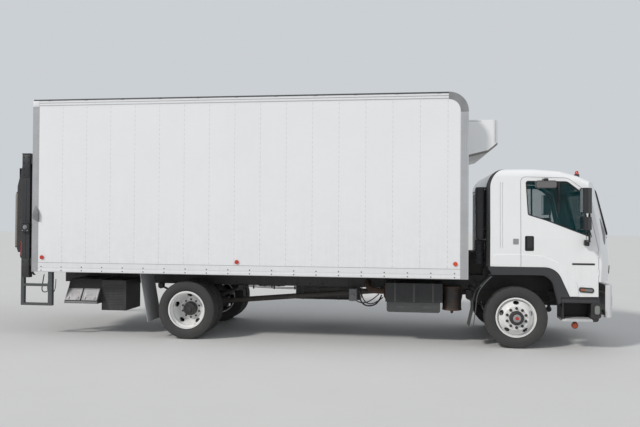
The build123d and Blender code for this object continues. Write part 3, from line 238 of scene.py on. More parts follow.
def piece(name, bm, body, skin, stands_for=(), sharp=35):
    """Turns a worked form into a piece that rides on a body."""
    bmesh.ops.recalc_face_normals(bm, faces=bm.faces[:])
    mesh = mesh_of(name, bm)
    mesh.polygons.foreach_set("use_smooth", [True] * len(mesh.polygons))
    mesh.set_sharp_from_angle(angle=math.radians(sharp))
    mesh.materials.append(SKIN[skin])
    obj = new_object(name, mesh)
    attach(obj, body)
    if stands_for:
        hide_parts(*stands_for)
    return obj


# Shared effects of the finishes
class Value:
    """A number in a node tree, worked with plain signs, each step one Math node."""

    def __init__(self, socket):
        self.socket = socket
        self.tree = socket.id_data

    def math(self, operation, other=0.0):
        return Value(add(self.tree, "Math", {0: self, 1: other}, operation=operation).outputs[0])

    def __add__(self, other):
        return self.math("ADD", other)

    def __sub__(self, other):
        return self.math("SUBTRACT", other)

    def __rsub__(self, other):
        return Value(add(self.tree, "Math", {0: other, 1: self}, operation="SUBTRACT").outputs[0])

    def __mul__(self, other):
        return self.math("MULTIPLY", other)

    def __truediv__(self, other):
        return self.math("DIVIDE", other)

    def __abs__(self):
        return self.math("ABSOLUTE")

    def over(self, limit):
        """1 past a limit, otherwise 0."""
        return self.math("GREATER_THAN", limit)

    def under(self, limit):
        """1 below a limit, otherwise 0."""
        return self.math("LESS_THAN", limit)

    def past(self, start, rate=1.0):
        """How far the number is past a start, times a rate."""
        return (self - start).math("MAXIMUM") * rate

    def clamped(self):
        """Keeps the last step within 0 and 1."""
        self.socket.node.use_clamp = True
        return self

    def mix(self, a, b):
        """Colour between two, by this number."""
        return add(self.tree, "Mix", {0: self, 6: a, 7: b}, data_type="RGBA").outputs[2]


def join(tree, inputs, links):
    """Links each input to a socket or sets it to a value."""
    for key, value in links.items():
        value = value.socket if isinstance(value, Value) else value
        if isinstance(value, bpy.types.NodeSocket):
            tree.links.new(value, inputs[key])
        else:
            inputs[key].default_value = value


def add(tree, kind, links=None, **settings):
    node = tree.nodes.new("ShaderNode" + kind)
    for key, value in settings.items():
        setattr(node, key, value)
    join(tree, node.inputs, links or {})
    return node


def use(tree, effect, links):
    """Outputs of a shared effect."""
    return add(tree, "Group", links, node_tree=effect).outputs


def noise_of(tree, links):
    return Value(add(tree, "TexNoise", links).outputs[0])


def bump_of(tree, height, strength, distance):
    return add(tree, "Bump", {"Strength": strength, "Distance": distance, "Height": height}).outputs[0]


def here_of(tree):
    return add(tree, "TexCoord").outputs["Object"]


def place_of(tree, stretch=(1, 1, 1)):
    """Object coordinates, stretched along the axes."""
    return add(tree, "Mapping", {"Vector": here_of(tree), "Scale": stretch}).outputs[0]


def parts_of(tree):
    """X, Y and Z of a place on the surface."""
    return [Value(part) for part in add(tree, "SeparateXYZ", {0: here_of(tree)}).outputs]


def length_of(a, b):
    """Length across two sides at a right angle."""
    return (a * a + b * b).math("SQRT")


def scaled(tree, colour, factor):
    return add(tree, "VectorMath", {0: colour, "Scale": factor}, operation="SCALE").outputs[0]


def group(name, inputs, outputs, build):
    """Node group with its sockets, filled by a function that returns the outputs' links."""
    tree = bpy.data.node_groups.new(name, "ShaderNodeTree")
    for label, kind, value in inputs:
        socket = tree.interface.new_socket(label, in_out="INPUT", socket_type="NodeSocket" + kind)
        socket.default_value = value
    for label, kind in outputs:
        tree.interface.new_socket(label, in_out="OUTPUT", socket_type="NodeSocket" + kind)
    given = tree.nodes.new("NodeGroupInput").outputs
    join(tree, tree.nodes.new("NodeGroupOutput").inputs, build(tree, given))
    return tree


def slow_tone(tree, given):
    """Slow colour change over a surface, darker and lighter by the amount."""
    cloud = noise_of(tree, {"Vector": place_of(tree), "Scale": given["Size"], "Detail": 4.0,
                            "Roughness": 0.6})
    light = (cloud - 0.5) * given["Amount"] * 2.0 + 1.0
    return {"Colour": scaled(tree, given["Colour"], light), "Mask": cloud}


def road_dirt(tree, given):
    """Road dirt that thickens towards the ground, and thin streaks under it."""
    here = here_of(tree)
    height = Value(add(tree, "SeparateXYZ", {0: here}).outputs[2])
    low = (1.0 - height / given["Top"]).clamped()
    cloud = noise_of(tree, {"Vector": here, "Scale": 7.0, "Detail": 6.0, "Roughness": 0.7})
    streak = noise_of(tree, {"Vector": place_of(tree, (24, 24, 1.2)), "Scale": 1.0, "Detail": 3.0})
    spread = (cloud + streak * 0.6 - 0.42).clamped()
    mask = (spread * (low + 0.12) * 2.2 * given["Amount"]).clamped()
    return {"Colour": mask.mix(given["Colour"], given["Dirt"]), "Mask": mask}


def fine_grain(tree, given):
    """Height of a fine even grain, with an amount of slow waves under it."""
    here = here_of(tree)
    fine = noise_of(tree, {"Vector": here, "Scale": given["Size"], "Detail": 2.0})
    slow = noise_of(tree, {"Vector": here, "Scale": 3.0, "Detail": 1.0})
    return {"Height": fine + slow * given["Waves"]}


def cloth_weave(tree, given):
    """Height and shade of a plain cloth weave."""
    x, y, z = parts_of(tree)
    across = y * given["Threads"]
    along = (x + z) * given["Threads"]
    cross = across.math("SINE") * along.math("SINE")
    return {"Height": cross, "Shade": cross * 0.15 + 0.85}


WHITE = (1, 1, 1, 1)
ROAD_DUST = (0.16, 0.145, 0.125, 1)
COLOUR_AND_MASK = [("Colour", "Color"), ("Mask", "Float")]
TONE = group("slow_tone", [("Colour", "Color", WHITE), ("Amount", "Float", 0.05), ("Size", "Float", 2.0)],
             COLOUR_AND_MASK, slow_tone)
DIRT = group("road_dirt", [("Colour", "Color", WHITE), ("Dirt", "Color", (0.2, 0.18, 0.15, 1)),
                           ("Amount", "Float", 0.3), ("Top", "Float", 1.2)], COLOUR_AND_MASK, road_dirt)
GRAIN = group("fine_grain", [("Size", "Float", 300.0), ("Waves", "Float", 0.0)], [("Height", "Float")],
              fine_grain)
WEAVE = group("cloth_weave", [("Threads", "Float", 900.0)], [("Height", "Float"), ("Shade", "Float")],
              cloth_weave)


def tone_of(tree, colour, amount, size):
    return use(tree, TONE, {"Colour": colour, "Amount": amount, "Size": size})


def new_material(name):
    material = bpy.data.materials.new(name)
    material.use_nodes = True
    tree = material.node_tree
    return material, tree, tree.nodes["Principled BSDF"].inputs


def finish(name, colour, rough, metal=0.0, tone=0.05, size=2.0, dirt=0.3, top=1.2, grain=300.0,
           bump=0.02, waves=0.0, coat=0.0, swing=0.12, dust=ROAD_DUST, zones=None):
    """One finish: toned colour, road dirt by height, uneven gloss and a fine grain."""
    material, tree, shader = new_material(name)
    toned = tone_of(tree, zones(tree, (*colour, 1)) if zones else (*colour, 1), tone, size)
    dirty = use(tree, DIRT, {"Colour": toned["Colour"], "Dirt": dust, "Amount": dirt, "Top": top})
    mask = Value(dirty["Mask"])
    level = mask * 0.45 + ((Value(toned["Mask"]) - 0.5) * swing + rough)
    height = use(tree, GRAIN, {"Size": grain, "Waves": waves})["Height"]
    join(tree, shader, {"Base Color": dirty["Colour"], "Coat Weight": coat, "Coat Roughness": 0.08,
                        "Roughness": add(tree, "Clamp", {0: level, 1: 0.04, 2: 1.0}).outputs[0],
                        "Normal": bump_of(tree, height, 1.0, bump / 1000)})
    if metal:
        join(tree, shader, {"Metallic": (1.0 - mask).clamped() * metal})
    return material


# Zones of another colour within one finish
def beyond(axis, limit, colour, below=False):
    """Another colour past a limit along an axis, or below it."""
    def zones(tree, base):
        part = parts_of(tree)["xyz".index(axis)]
        return (part.under(limit) if below else part.over(limit)).mix(base, (*colour, 1))
    return zones


def rivet_lines_dirt_and_shade(tree, base):
    """Faint grey spots down the sheets, where each row of rivets holds them to a post: seam dirt with
    painted shade of the rivet heads.
    """
    x, _, z = parts_of(tree)
    part = (x - POST_X[0]) / (POST_X[1] - POST_X[0]) + 0.5
    away = abs(part.math("FRACT") - 0.5)
    near = (1.0 - away / 0.016).clamped()
    turn = (z - RIVET_Z[0]) * (2 * math.pi / (RIVET_Z[1] - RIVET_Z[0]))
    spot = turn.math("COSINE") * 0.45 + 0.55
    # Grey spots at the rivet rows: seam dirt and painted shade.
    return (near * spot * 0.42).mix(base, (0.30, 0.30, 0.31, 1))


def cab_zones(tree, base):
    """White outside, black on the back wall and its bend, dark trim inside."""
    x, y, z = parts_of(tree)
    reach = abs(y) + z.past(1.640, 1 / 21)
    nose = ax(1.356) - z.past(1.70, 0.248)
    in_plan = length_of((x - nose).past(-0.25), reach.past(0.84)).under(0.222)
    drop = x.past(ax(0.25), 0.082) + x.past(ax(0.64), 0.199) + x.past(ax(0.90), 0.183)
    under_roof = length_of((z + drop).past(2.560), reach.past(0.96)).under(0.104)
    behind = (ax(-0.150) - x).math("MAXIMUM")
    above = z.past(2.405)
    back = length_of(behind, above).over(above * above * 0.64 + 0.230)
    lined = (in_plan * under_roof).mix(base, (0.10, 0.10, 0.105, 1))
    return (back * x.under(ax(-0.156))).mix(lined, (0.018, 0.018, 0.019, 1))


def unit_zones(tree, base):
    """Cooling unit: white cover, brownish grey tray underneath."""
    x, _, z = parts_of(tree)
    front_line = (x - ax(-0.722)) * 0.236 + 2.871
    line = front_line.math("MAXIMUM", (x - ax(-0.404)) * 0.83 + 2.946)
    return z.under(line + 0.036).mix(base, (0.17, 0.16, 0.155, 1))


def exhaust_zones(tree, base):
    """Exhaust unit: black upper cover, grey below it, rusty at the foot of the round part."""
    x, _, z = parts_of(tree)
    low = z.under(0.627)
    lower = low.mix(base, (0.066, 0.070, 0.073, 1))
    spots = noise_of(tree, {"Scale": 14.0, "Detail": 4.0}) + low * 0.12
    spots = ((spots - 0.50).clamped() * 5.0).clamped()
    can = x.over(ax(-1.06))
    return (can * spots).mix(can.mix(lower, (0.030, 0.028, 0.027, 1)), (0.075, 0.036, 0.024, 1))


def wheel_dust_and_shade_zones(tree, base):
    """Painted rims and discs, dark castings and drums behind them; the inside of the rim barrel behind
    the disc near black as brake dust and painted shade.
    """
    x, y, z = parts_of(tree)
    away = abs(x - FRONT_AXLE).math("MINIMUM", abs(x - REAR_AXLE))
    r = length_of(away, z - WHEEL_Z)
    # The dark zone takes in the inner barrel of the rim: brake dust and painted shade.
    deep = x.over(1.0) * 0.145 + 0.890 - r.over(0.222) * 0.050
    return (abs(y).under(deep) * r.under(0.279)).mix(base, (0.035, 0.032, 0.030, 1))


def post_tone_and_reflection(tree, base):
    """Grey fluted posts with a darker cast corner over them, its mottle of lighter grey streaks a painted
    reflection.
    """
    z = parts_of(tree)[2]
    cloud = noise_of(tree, {"Vector": place_of(tree, (6, 6, 3)), "Scale": 1.0, "Detail": 2.0})
    # Corner casting: dark grey of its own, with lighter streaks as painted reflection.
    return z.over(3.520).mix(base, cloud.mix((0.10, 0.105, 0.11, 1), (0.42, 0.43, 0.44, 1)))


FINISHES = {
    "frame_paint": dict(colour=(0.018, 0.018, 0.021), rough=0.45, tone=0.25, dirt=0.34, top=1.3,
                        bump=0.05),
    "castings": dict(colour=(0.06, 0.058, 0.056), rough=0.65, tone=0.4, size=9, dirt=0.6, bump=0.25,
                     grain=160),
    "white_panel": dict(colour=(0.86, 0.87, 0.88), rough=0.34, tone=0.025, size=1.2, dirt=0.10, top=2.6,
                        bump=0.012, coat=0.25),
    "floor_aluminium": dict(colour=(0.50, 0.51, 0.52), rough=0.5, metal=0.8, tone=0.15, size=6, dirt=0.3),
    "cab_paint": dict(colour=(0.86, 0.87, 0.88), rough=0.22, tone=0.018, size=1.6, dirt=0.16, top=1.5,
                      bump=0.004, coat=0.6, swing=0.06, zones=cab_zones),
    "cab_underpaint": dict(colour=(0.11, 0.11, 0.115), rough=0.55, tone=0.15, dirt=0.4),
    "bumper_paint": dict(colour=(0.70, 0.71, 0.72), rough=0.42, tone=0.04, dirt=0.3, top=1.1, coat=0.2),
    "dark_plastic": dict(colour=(0.036, 0.037, 0.041), rough=0.55, tone=0.10, size=4, dirt=0.08, top=1.3,
                         bump=0.10, grain=600),
    "step_plastic": dict(colour=(0.022, 0.022, 0.024), rough=0.6, tone=0.12, size=5, dirt=0.10, top=1.0,
                         bump=0.10, grain=600),
    "tread_metal": dict(colour=(0.62, 0.63, 0.64), rough=0.42, metal=0.35, tone=0.14, size=30, dirt=0.18),
    # Rail paint: white, its dark band above z 3.797 painted shade of the gap under the roof's edge.
    "rail_paint": dict(colour=(0.80, 0.81, 0.825), rough=0.36, tone=0.03, size=3, dirt=0.14, top=2.0,
                       bump=0.02, coat=0.15, zones=beyond("z", 3.797, (0.22, 0.22, 0.225))),
    # Grey of the beads along the rails: painted shade of the rails' grooves.
    "rail_groove_shade": dict(colour=(0.36, 0.365, 0.375), rough=0.45, tone=0.10, size=6, dirt=0.2, top=2.0,
                      metal=0.2),
    # Dark grey: the exhaust bands' own colour; on the roof's edge it is painted shade of the gap under
    # the roof.
    "edge_dark": dict(colour=(0.085, 0.085, 0.09), rough=0.5, tone=0.25, size=4, dirt=0.1, top=5.0,
                      metal=0.3),
    "post_metal": dict(colour=(0.50, 0.51, 0.525), rough=0.40, metal=0.35, tone=0.12, size=4, dirt=0.22,
                       top=2.2, bump=0.04, grain=380, zones=post_tone_and_reflection),
    "rear_frame_metal": dict(colour=(0.42, 0.43, 0.445), rough=0.42, metal=0.3, tone=0.14, size=5,
                             dirt=0.3,
                             top=2.4, bump=0.04, grain=380, zones=beyond("z", 3.705, (0.80, 0.81, 0.82))),
    "mirror_shell": dict(colour=(0.022, 0.022, 0.024), rough=0.45, tone=0.15, dirt=0.15, bump=0.06,
                         grain=700,
                         zones=beyond("x", ax(0.60), (0.15, 0.145, 0.145), below=True)),
    "trim_plastic": dict(colour=(0.022, 0.022, 0.024), rough=0.5, tone=0.15, dirt=0.15, bump=0.08,
                         grain=700),
    "cabin_plastic": dict(colour=(0.20, 0.20, 0.21), rough=0.6, tone=0.06, dirt=0.0, bump=0.12,
                          grain=700),
    "wheel_paint": dict(colour=(0.82, 0.82, 0.81), rough=0.30, tone=0.05, size=9, dirt=0.16, top=1.0,
                        bump=0.02, coat=0.3, zones=wheel_dust_and_shade_zones),
    # Fuel tank near black: its dark paint and painted shade under the truck.
    "tank_metal": dict(colour=(0.035, 0.035, 0.037), rough=0.36, metal=0.3, tone=0.10, size=8, dirt=0.35,
                       bump=0.03, grain=350),
    "exhaust_metal": dict(colour=(0.026, 0.027, 0.030), rough=0.5, metal=0.15, tone=0.25, size=7,
                          dirt=0.15,
                          bump=0.06, grain=240, zones=exhaust_zones),
    "cooler_skin": dict(colour=(0.84, 0.85, 0.86), rough=0.32, tone=0.02, size=2, dirt=0.06, top=5.0,
                        bump=0.006, coat=0.3, zones=unit_zones),
    "guard_plastic": dict(colour=(0.47, 0.48, 0.49), rough=0.6, tone=0.10, size=6, dirt=0.25, top=1.1,
                          bump=0.10, grain=500, zones=beyond("x", 0.0, (0.032, 0.032, 0.034))),
    "lift_paint": dict(colour=(0.024, 0.025, 0.028), rough=0.42, tone=0.25, size=5, dirt=0.16, top=1.6,
                       bump=0.05, grain=300),
    "deck_metal": dict(colour=(0.042, 0.041, 0.042), rough=0.48, metal=0.2, tone=0.3, size=8, dirt=0.12,
                       top=3.0, bump=0.10, grain=200),
    "deck_edge": dict(colour=(0.26, 0.235, 0.215), rough=0.55, metal=0.2, tone=0.35, size=9, dirt=0.3,
                      top=3.0),
    "step_steel": dict(colour=(0.075, 0.085, 0.088), rough=0.45, metal=0.25, tone=0.22, size=18, dirt=0.2,
                       bump=0.05, grain=260),
    "bracket_metal": dict(colour=(0.22, 0.225, 0.235), rough=0.45, metal=0.3, tone=0.2, size=12, dirt=0.2,
                          top=2.5),
    "exhaust_cover": dict(colour=(0.078, 0.084, 0.087), rough=0.5, metal=0.2, tone=0.18, size=10,
                          dirt=0.2),
    "lid_metal": dict(colour=(0.25, 0.25, 0.26), rough=0.42, metal=0.35, tone=0.2, size=14, dirt=0.3,
                      bump=0.06, grain=260),
    "steel": dict(colour=(0.40, 0.40, 0.41), rough=0.4, metal=0.9, tone=0.15, size=10, dirt=0.3),
    "seal_rubber": dict(colour=(0.018, 0.018, 0.019), rough=0.7, tone=0.15, size=8, dirt=0.12, bump=0.05),
    "sheet_skin": dict(colour=(0.84, 0.85, 0.865), rough=0.30, tone=0.03, size=1.1, dirt=0.12, top=2.4,
                       bump=0.010, coat=0.3, zones=rivet_lines_dirt_and_shade),
    "rivet_metal": dict(colour=(0.72, 0.73, 0.74), rough=0.4, metal=0.4, tone=0.12, size=30, dirt=0.3,
                        top=3.0),
    "tyre": dict(colour=(0.038, 0.037, 0.037), rough=0.74, tone=0.20, size=6, dirt=0.20, top=1.1,
                 bump=0.10,
                 grain=500, dust=(0.10, 0.096, 0.092, 1)),
    "nut_metal": dict(colour=(0.036, 0.036, 0.039), rough=0.45, metal=0.5, tone=0.3, size=40, dirt=0.25),
    "grey_plastic": dict(colour=(0.30, 0.31, 0.32), rough=0.55, tone=0.06, size=6, dirt=0.2, bump=0.06,
                         grain=600),
    "rusty_steel": dict(colour=(0.085, 0.046, 0.031), rough=0.8, metal=0.2, tone=0.5, size=22, dirt=0.3,
                        bump=0.25, grain=180),
    "bolt_dark": dict(colour=(0.10, 0.10, 0.105), rough=0.5, metal=0.4, tone=0.3, size=30, dirt=0.2),
    "hose_rubber": dict(colour=(0.02, 0.02, 0.021), rough=0.62, tone=0.2, size=10, dirt=0.5, bump=0.04),
}
SKIN = {name: finish(name, **values) for name, values in FINISHES.items()}


def lens(name, colour, rough=0.16, zones=None):
    """Coloured lamp cover with fine upright flutes under its gloss."""
    material, tree, shader = new_material(name)
    toned = tone_of(tree, zones(tree, (*colour, 1)) if zones else (*colour, 1), 0.12, 40.0)
    flutes = add(tree, "TexWave", {"Vector": place_of(tree), "Scale": 90.0}, bands_direction="DIAGONAL")
    join(tree, shader, {"Base Color": toned["Colour"], "Roughness": rough, "Coat Weight": 0.8,
                        "Normal": bump_of(tree, flutes.outputs["Fac"], 0.25, 0.0008)})
    return material


LENSES = {
    "red_lens": dict(colour=(0.50, 0.020, 0.012), zones=beyond("x", 1.0, (0.62, 0.06, 0.015))),
    "orange_lens": dict(colour=(0.62, 0.075, 0.012)),
    "two_tone_lens": dict(colour=(0.30, 0.105, 0.05), zones=beyond("x", ax(0.985), (0.17, 0.175, 0.18))),
    "smoke_lens": dict(colour=(0.20, 0.22, 0.20), rough=0.1),
    "clear_lens": dict(colour=(0.55, 0.57, 0.58), rough=0.1),
    "roof_lens": dict(colour=(0.52, 0.022, 0.012), zones=beyond("z", 2.612, (0.02, 0.02, 0.02),
                      below=True)),
    "lamp_lens": dict(colour=(0.62, 0.65, 0.68), rough=0.08),
    "deep_red_lens": dict(colour=(0.50, 0.018, 0.012)),
}
SKIN |= {name: lens(name, **values) for name, values in LENSES.items()}


def window_glass():
    """Thin tinted pane: mostly clear, brighter at a glancing view."""
    material, tree, shader = new_material("window_glass")
    toned = tone_of(tree, (0.012, 0.085, 0.095, 1), 0.25, 1.5)
    edge = Value(add(tree, "Fresnel", {"IOR": 1.45}).outputs[0])
    join(tree, shader, {"Base Color": toned["Colour"], "Roughness": Value(toned["Mask"]) * 0.08 + 0.02,
                        "Metallic": 0.0, "Alpha": (edge * 0.6 + 0.24).clamped()})
    return material


def mirror_glass():
    """Silvered glass with a faint haze."""
    material, tree, shader = new_material("mirror_glass")
    toned = tone_of(tree, (0.62, 0.65, 0.68, 1), 0.04, 6.0)
    join(tree, shader, {"Base Color": toned["Colour"], "Roughness": Value(toned["Mask"]) * 0.06,
                        "Metallic": 1.0})
    return material


def seat_cloth():
    """Dark woven cloth with a soft sheen."""
    material, tree, shader = new_material("seat_cloth")
    woven = use(tree, WEAVE, {"Threads": 1400.0})
    toned = tone_of(tree, (0.085, 0.090, 0.105, 1), 0.2, 14.0)
    join(tree, shader, {"Base Color": scaled(tree, toned["Colour"], woven["Shade"]), "Sheen Weight": 0.3,
                        "Roughness": 0.85, "Normal": bump_of(tree, woven["Height"], 0.6, 0.0006)})
    return material


SKIN |= {"window_glass": window_glass(), "mirror_glass": mirror_glass(), "seat_cloth": seat_cloth()}

NODE_FINISH = {
    "frame_paint": ("front_axle", "ladder_frame", "leaf_springs", "rear_axle"),
    "castings": ("drive_line", "engine_block", "knuckle_left", "knuckle_right"),
    "white_panel": ("box_front_wall", "box_roof", "box_sides", "roll_door"),
    "rail_paint": ("box_rails",),
    "post_metal": ("box_corner_posts",),
    "rear_frame_metal": ("box_rear_frame",),
    "floor_aluminium": ("box_floor",),
    "cab_paint": ("cab_shell", "door_left", "door_right"),
    "cab_underpaint": ("cab_floor",),
    "bumper_paint": ("bumper",),
    "dark_plastic": ("arch_flares",),
    "step_plastic": ("cab_steps",),
    "cabin_plastic": ("dashboard",),
    "window_glass": ("door_glass_left", "door_glass_right", "windscreen"),
    "exhaust_metal": ("exhaust_unit",),
    "trim_plastic": ("front_grille",),
    "mirror_shell": ("mirrors_left", "mirrors_right"),
    "tyre": ("front_tyre_left", "front_tyre_right", "rear_tyres_left", "rear_tyres_right"),
    "wheel_paint": ("front_wheel_left", "front_wheel_right", "rear_wheels_left", "rear_wheels_right"),
    "tank_metal": ("fuel_tank",),
    "lamp_lens": ("headlamps",),
    "lift_paint": ("lift_carriage", "lift_columns", "power_pack"),
    "deck_metal": ("lift_platform",),
    "red_lens": ("marker_lamps",),
    "guard_plastic": ("mudguards",),
    "roof_lens": ("roof_lamps",),
    "seat_cloth": ("seats",),
    "step_steel": ("step_frames",),
    "steel": ("tie_rod",),
    "cooler_skin": ("cooling_unit",),
}
for skin, names in NODE_FINISH.items():
    for name in names:
        for place in nodes[name].material_slots:
            place.material = SKIN[skin]


# Box: outer sheets, gently uneven between the posts
SHEET_RIM_Y = 1.2911
SHEET_PLANE_Y = 1.2940
SHEET_Y_RANGE = (1.2913, 1.3000)
RIVET_SINK = 0.0006


def sheet_depth(side, x, z):
    """How far out the side sheet stands: held at its posts, wavy between them."""
    pitch = POST_X[1] - POST_X[0]
    free = math.sin(math.pi * ((x - POST_X[0]) / pitch % 1)) ** 2
    near_rim = min(1.0, (x - SHEET_X[0]) / 0.25, (SHEET_X[1] - x) / 0.25, (z - SHEET_Z[0]) / 0.3,
                   (SHEET_Z[1] - z) / 0.3)
    slow = noise.noise(Vector((x * 1.5, side * 5, z * 0.8)))
    quick = noise.noise(Vector((x * 4.2, side * 9, z * 1.4)))
    wave = (0.0030 * slow + 0.0022 * quick) * (0.35 + 0.65 * free) + 0.0012 * free
    low, high = SHEET_Y_RANGE
    return min(max(SHEET_PLANE_Y + wave * max(near_rim, 0.0), low), high)


def on_sheet(side, x, z):
    """Place on the outer face of a side sheet."""
    return (x, side * (sheet_depth(side, x, z) - RIVET_SINK), z)


def side_sheet(side):
    """Fine grid over a side of the box, its rim turned in."""
    bm = bmesh.new()
    width = SHEET_X[1] - SHEET_X[0]
    height = SHEET_Z[1] - SHEET_Z[0]
    middle = ((SHEET_X[0] + SHEET_X[1]) / 2, 0, (SHEET_Z[0] + SHEET_Z[1]) / 2)
    place = Matrix.Translation(middle) @ Matrix.Rotation(math.pi / 2, 4, "X")
    bmesh.ops.create_grid(bm, x_segments=166, y_segments=62, size=0.5,
                          matrix=place @ Matrix.Diagonal((width, height, 1, 1)))
    rim = bmesh.ops.extrude_edge_only(bm, edges=[e for e in bm.edges if e.is_boundary])
    rim = {v for v in rim["geom"] if isinstance(v, bmesh.types.BMVert)}
    for v in bm.verts:
        v.co.y = side * (SHEET_RIM_Y if v in rim else sheet_depth(side, v.co.x, v.co.z))
    return bm


for side, name in SIDE_NAMES:
    piece(f"side_sheet_{name}", side_sheet(side), "chassis", "sheet_skin")

bm = bmesh.new()
for side in SIDES:
    for x in POST_X:
        rivets(bm, [on_sheet(side, x, z) for z in RIVET_Z], (0, side, 0), r=0.0070, height=0.0032)
    for z in (SHEET_Z[0] + 0.018, SHEET_Z[1] - 0.018):
        places = [on_sheet(side, x, z) for x in row(SHEET_X[0] + 0.04, SHEET_X[1] - 0.04, 0.101)]
        rivets(bm, places, (0, side, 0))
piece("side_rivets", bm, "chassis", "rivet_metal")

bm = bmesh.new()
for side in SIDES:
    places = [(x, side * BOX_Y, BOX_TOP - 0.078) for x in row(SHEET_X[0] + 0.06, 2.30, 0.15)]
    rivets(bm, places, (0, side, 0), r=0.005, height=0.002)
    for x, pitch in ((BOX_FRONT - 0.010, 0.12), (BOX_FRONT - 0.105, 0.12), (BOX_REAR + 0.055, 0.14)):
        top = BOX_TOP - 0.32 if x > 0 else BOX_TOP - 0.04
        places = [(x, side * BOX_Y, z) for z in row(BOX_LOW + 0.05, top, pitch)]
        rivets(bm, places, (0, side, 0), r=0.005, height=0.002)
piece("rail_fixings", bm, "chassis", "rivet_metal")

# Rails: bolts, grey beads along them as painted shade of their grooves, a dark strip along the roof's
# edge as painted shade of the gap under it, and the rear corner caps
bm = bmesh.new()
for side in SIDES:
    for z in (1.119, 1.062):
        places = [(x, side * BOX_Y, z) for x in row(SHEET_X[0] + 0.055, SHEET_X[1] - 0.08, 0.344)]
        rivets(bm, places, (0, side, 0), r=0.010, height=0.006, sides=8)
piece("rail_bolts", bm, "chassis", "bolt_dark")
# Grey beads along the rails: painted shade of their grooves.
bm = bmesh.new()
for side in SIDES:
    for z in (3.722, 3.762):
        slab(bm, (-4.168, 2.343), (side * 1.293, side * 1.2972), around(z, 0.0045), 0.0018)
    slab(bm, (-4.168, 2.515), (side * 1.293, side * 1.2970), (1.1830, 1.1890), 0.0015)
    slab(bm, (-4.168, 2.515), (side * 1.293, side * 1.2962), (1.0365, 1.0415), 0.0012)
piece("rail_beads", bm, "chassis", "rail_groove_shade")
# Dark strip along the roof's edge, with small blocks on it: painted shade of the gap under the roof.
bm = bmesh.new()
for side in SIDES:
    slab(bm, (-4.268, 2.346), (side * 1.288, side * 1.2978), (3.7985, 3.8195), 0.0025)
    for x in row(-4.0, 2.2, 0.62):
        slab(bm, around(x, 0.030), (side * 1.290, side * 1.2992), (3.796, 3.8190), 0.002)
piece("roof_edge_shadow_gap", bm, "chassis", "edge_dark")
bm = bmesh.new()
for side in SIDES:
    slab(bm, (-4.2795, -4.164), (side * 1.262, side * 1.3005), (3.700, 3.792), 0.010, segments=3)
    for z in (3.722, 3.770):
        peg(bm, "Y", -4.222, z, side * 1.300, side * 1.303, 0.007, sides=12)
piece("rear_caps", bm, "chassis", "rail_paint")

# Roof sheet with raised seams across it
bm = bmesh.new()
slab(bm, (-4.168, 2.341), (-1.224, 1.224), (3.8162, 3.8175), 0.0004)
for x in row(-4.16, 2.33, 0.812):
    slab(bm, around(x, 0.012), (-1.222, 1.222), (3.8173, 3.8194), 0.0006)
for side in SIDES:
    slab(bm, (-4.168, 2.341), around(side * 1.208, 0.014), (3.8173, 3.8194), 0.0006)
piece("roof_sheet", bm, "chassis", "sheet_skin")


# Tyres
TYRE_STEPS = 96


def tyre_mesh(bm, y, x):
    """Road tyre: round shoulders, upright grooves and notched shoulder blocks."""
    half, crown = 0.1275, 0.4590
    groove_half, groove_depth = 0.0050, 0.013
    floor_half, floor_r = groove_half * 0.7, crown - groove_depth
    flank = [(0.0945, 0.2865), (0.0950, 0.3020), (0.1085, 0.3110), (0.1185, 0.3300), (0.1262, 0.3550),
             (half, 0.3760), (0.1268, 0.3960), (0.1235, 0.4170), (0.1190, 0.4330), (0.1160, 0.4460),
             (0.1105, 0.4545), (0.1010, 0.4582)]
    ridge = []
    for at in (0.090, 0.046, 0.0):
        rise = (0.1 - at) / 0.1
        ridge += [(at + groove_half, crown + 0.0008 * rise), (at + floor_half, floor_r)]
        if at:
            ridge += [(at - floor_half, floor_r), (at - groove_half, 0.4591 + 0.0007 * rise)]
    right = flank + ridge
    profile = [(y + a, r) for a, r in right] + [(y - a, r) for a, r in reversed(right)]
    part = bmesh.new()
    spun(part, profile, x, WHEEL_Z, TYRE_STEPS)
    notches = []
    for f in part.faces:
        c = f.calc_center_median()
        step = int((math.atan2(c.z - WHEEL_Z, c.x - x) / (2 * math.pi) * TYRE_STEPS) % 4)
        r = math.hypot(c.x - x, c.z - WHEEL_Z)
        if 0.0955 < abs(c.y - y) < 0.118 and r > 0.446 and step == 0:
            notches.append(f)
    bmesh.ops.inset_individual(part, faces=notches, thickness=0.0012, depth=0.0)
    for f in notches:
        c = f.calc_center_median()
        inward = Vector((x - c.x, (y - c.y) * 0.3, WHEEL_Z - c.z)).normalized()
        bmesh.ops.translate(part, vec=inward * 0.007, verts=f.verts[:])
    merge(bm, part)


for side, name in SIDE_NAMES:
    bm = bmesh.new()
    tyre_mesh(bm, side * FRONT_TYRE_Y, FRONT_AXLE)
    piece(f"front_tread_{name}", bm, f"{name}_front_wheel", "tyre", (f"front_tyre_{name}",))
    bm = bmesh.new()
    for y in REAR_TYRES_Y:
        tyre_mesh(bm, side * y, REAR_AXLE)
    piece(f"rear_treads_{name}", bm, f"{name}_rear_wheels", "tyre", (f"rear_tyres_{name}",))


# Wheel nuts, hubs and valves
def nuts(bm, x, face, side):
    """Ten capped nuts on the bolt circle."""
    for cx, cz in ring_of(10, BOLT_CIRCLE_R, x, WHEEL_Z, 0.5):
        peg(bm, "Y", cx, cz, face, face + side * 0.004, 0.0215, sides=16)
        peg(bm, "Y", cx, cz, face + side * 0.004, face + side * 0.020, 0.0175, 0.0168, sides=6)
        peg(bm, "Y", cx, cz, face + side * 0.020, face + side * 0.032, 0.0125, 0.0110, sides=10)


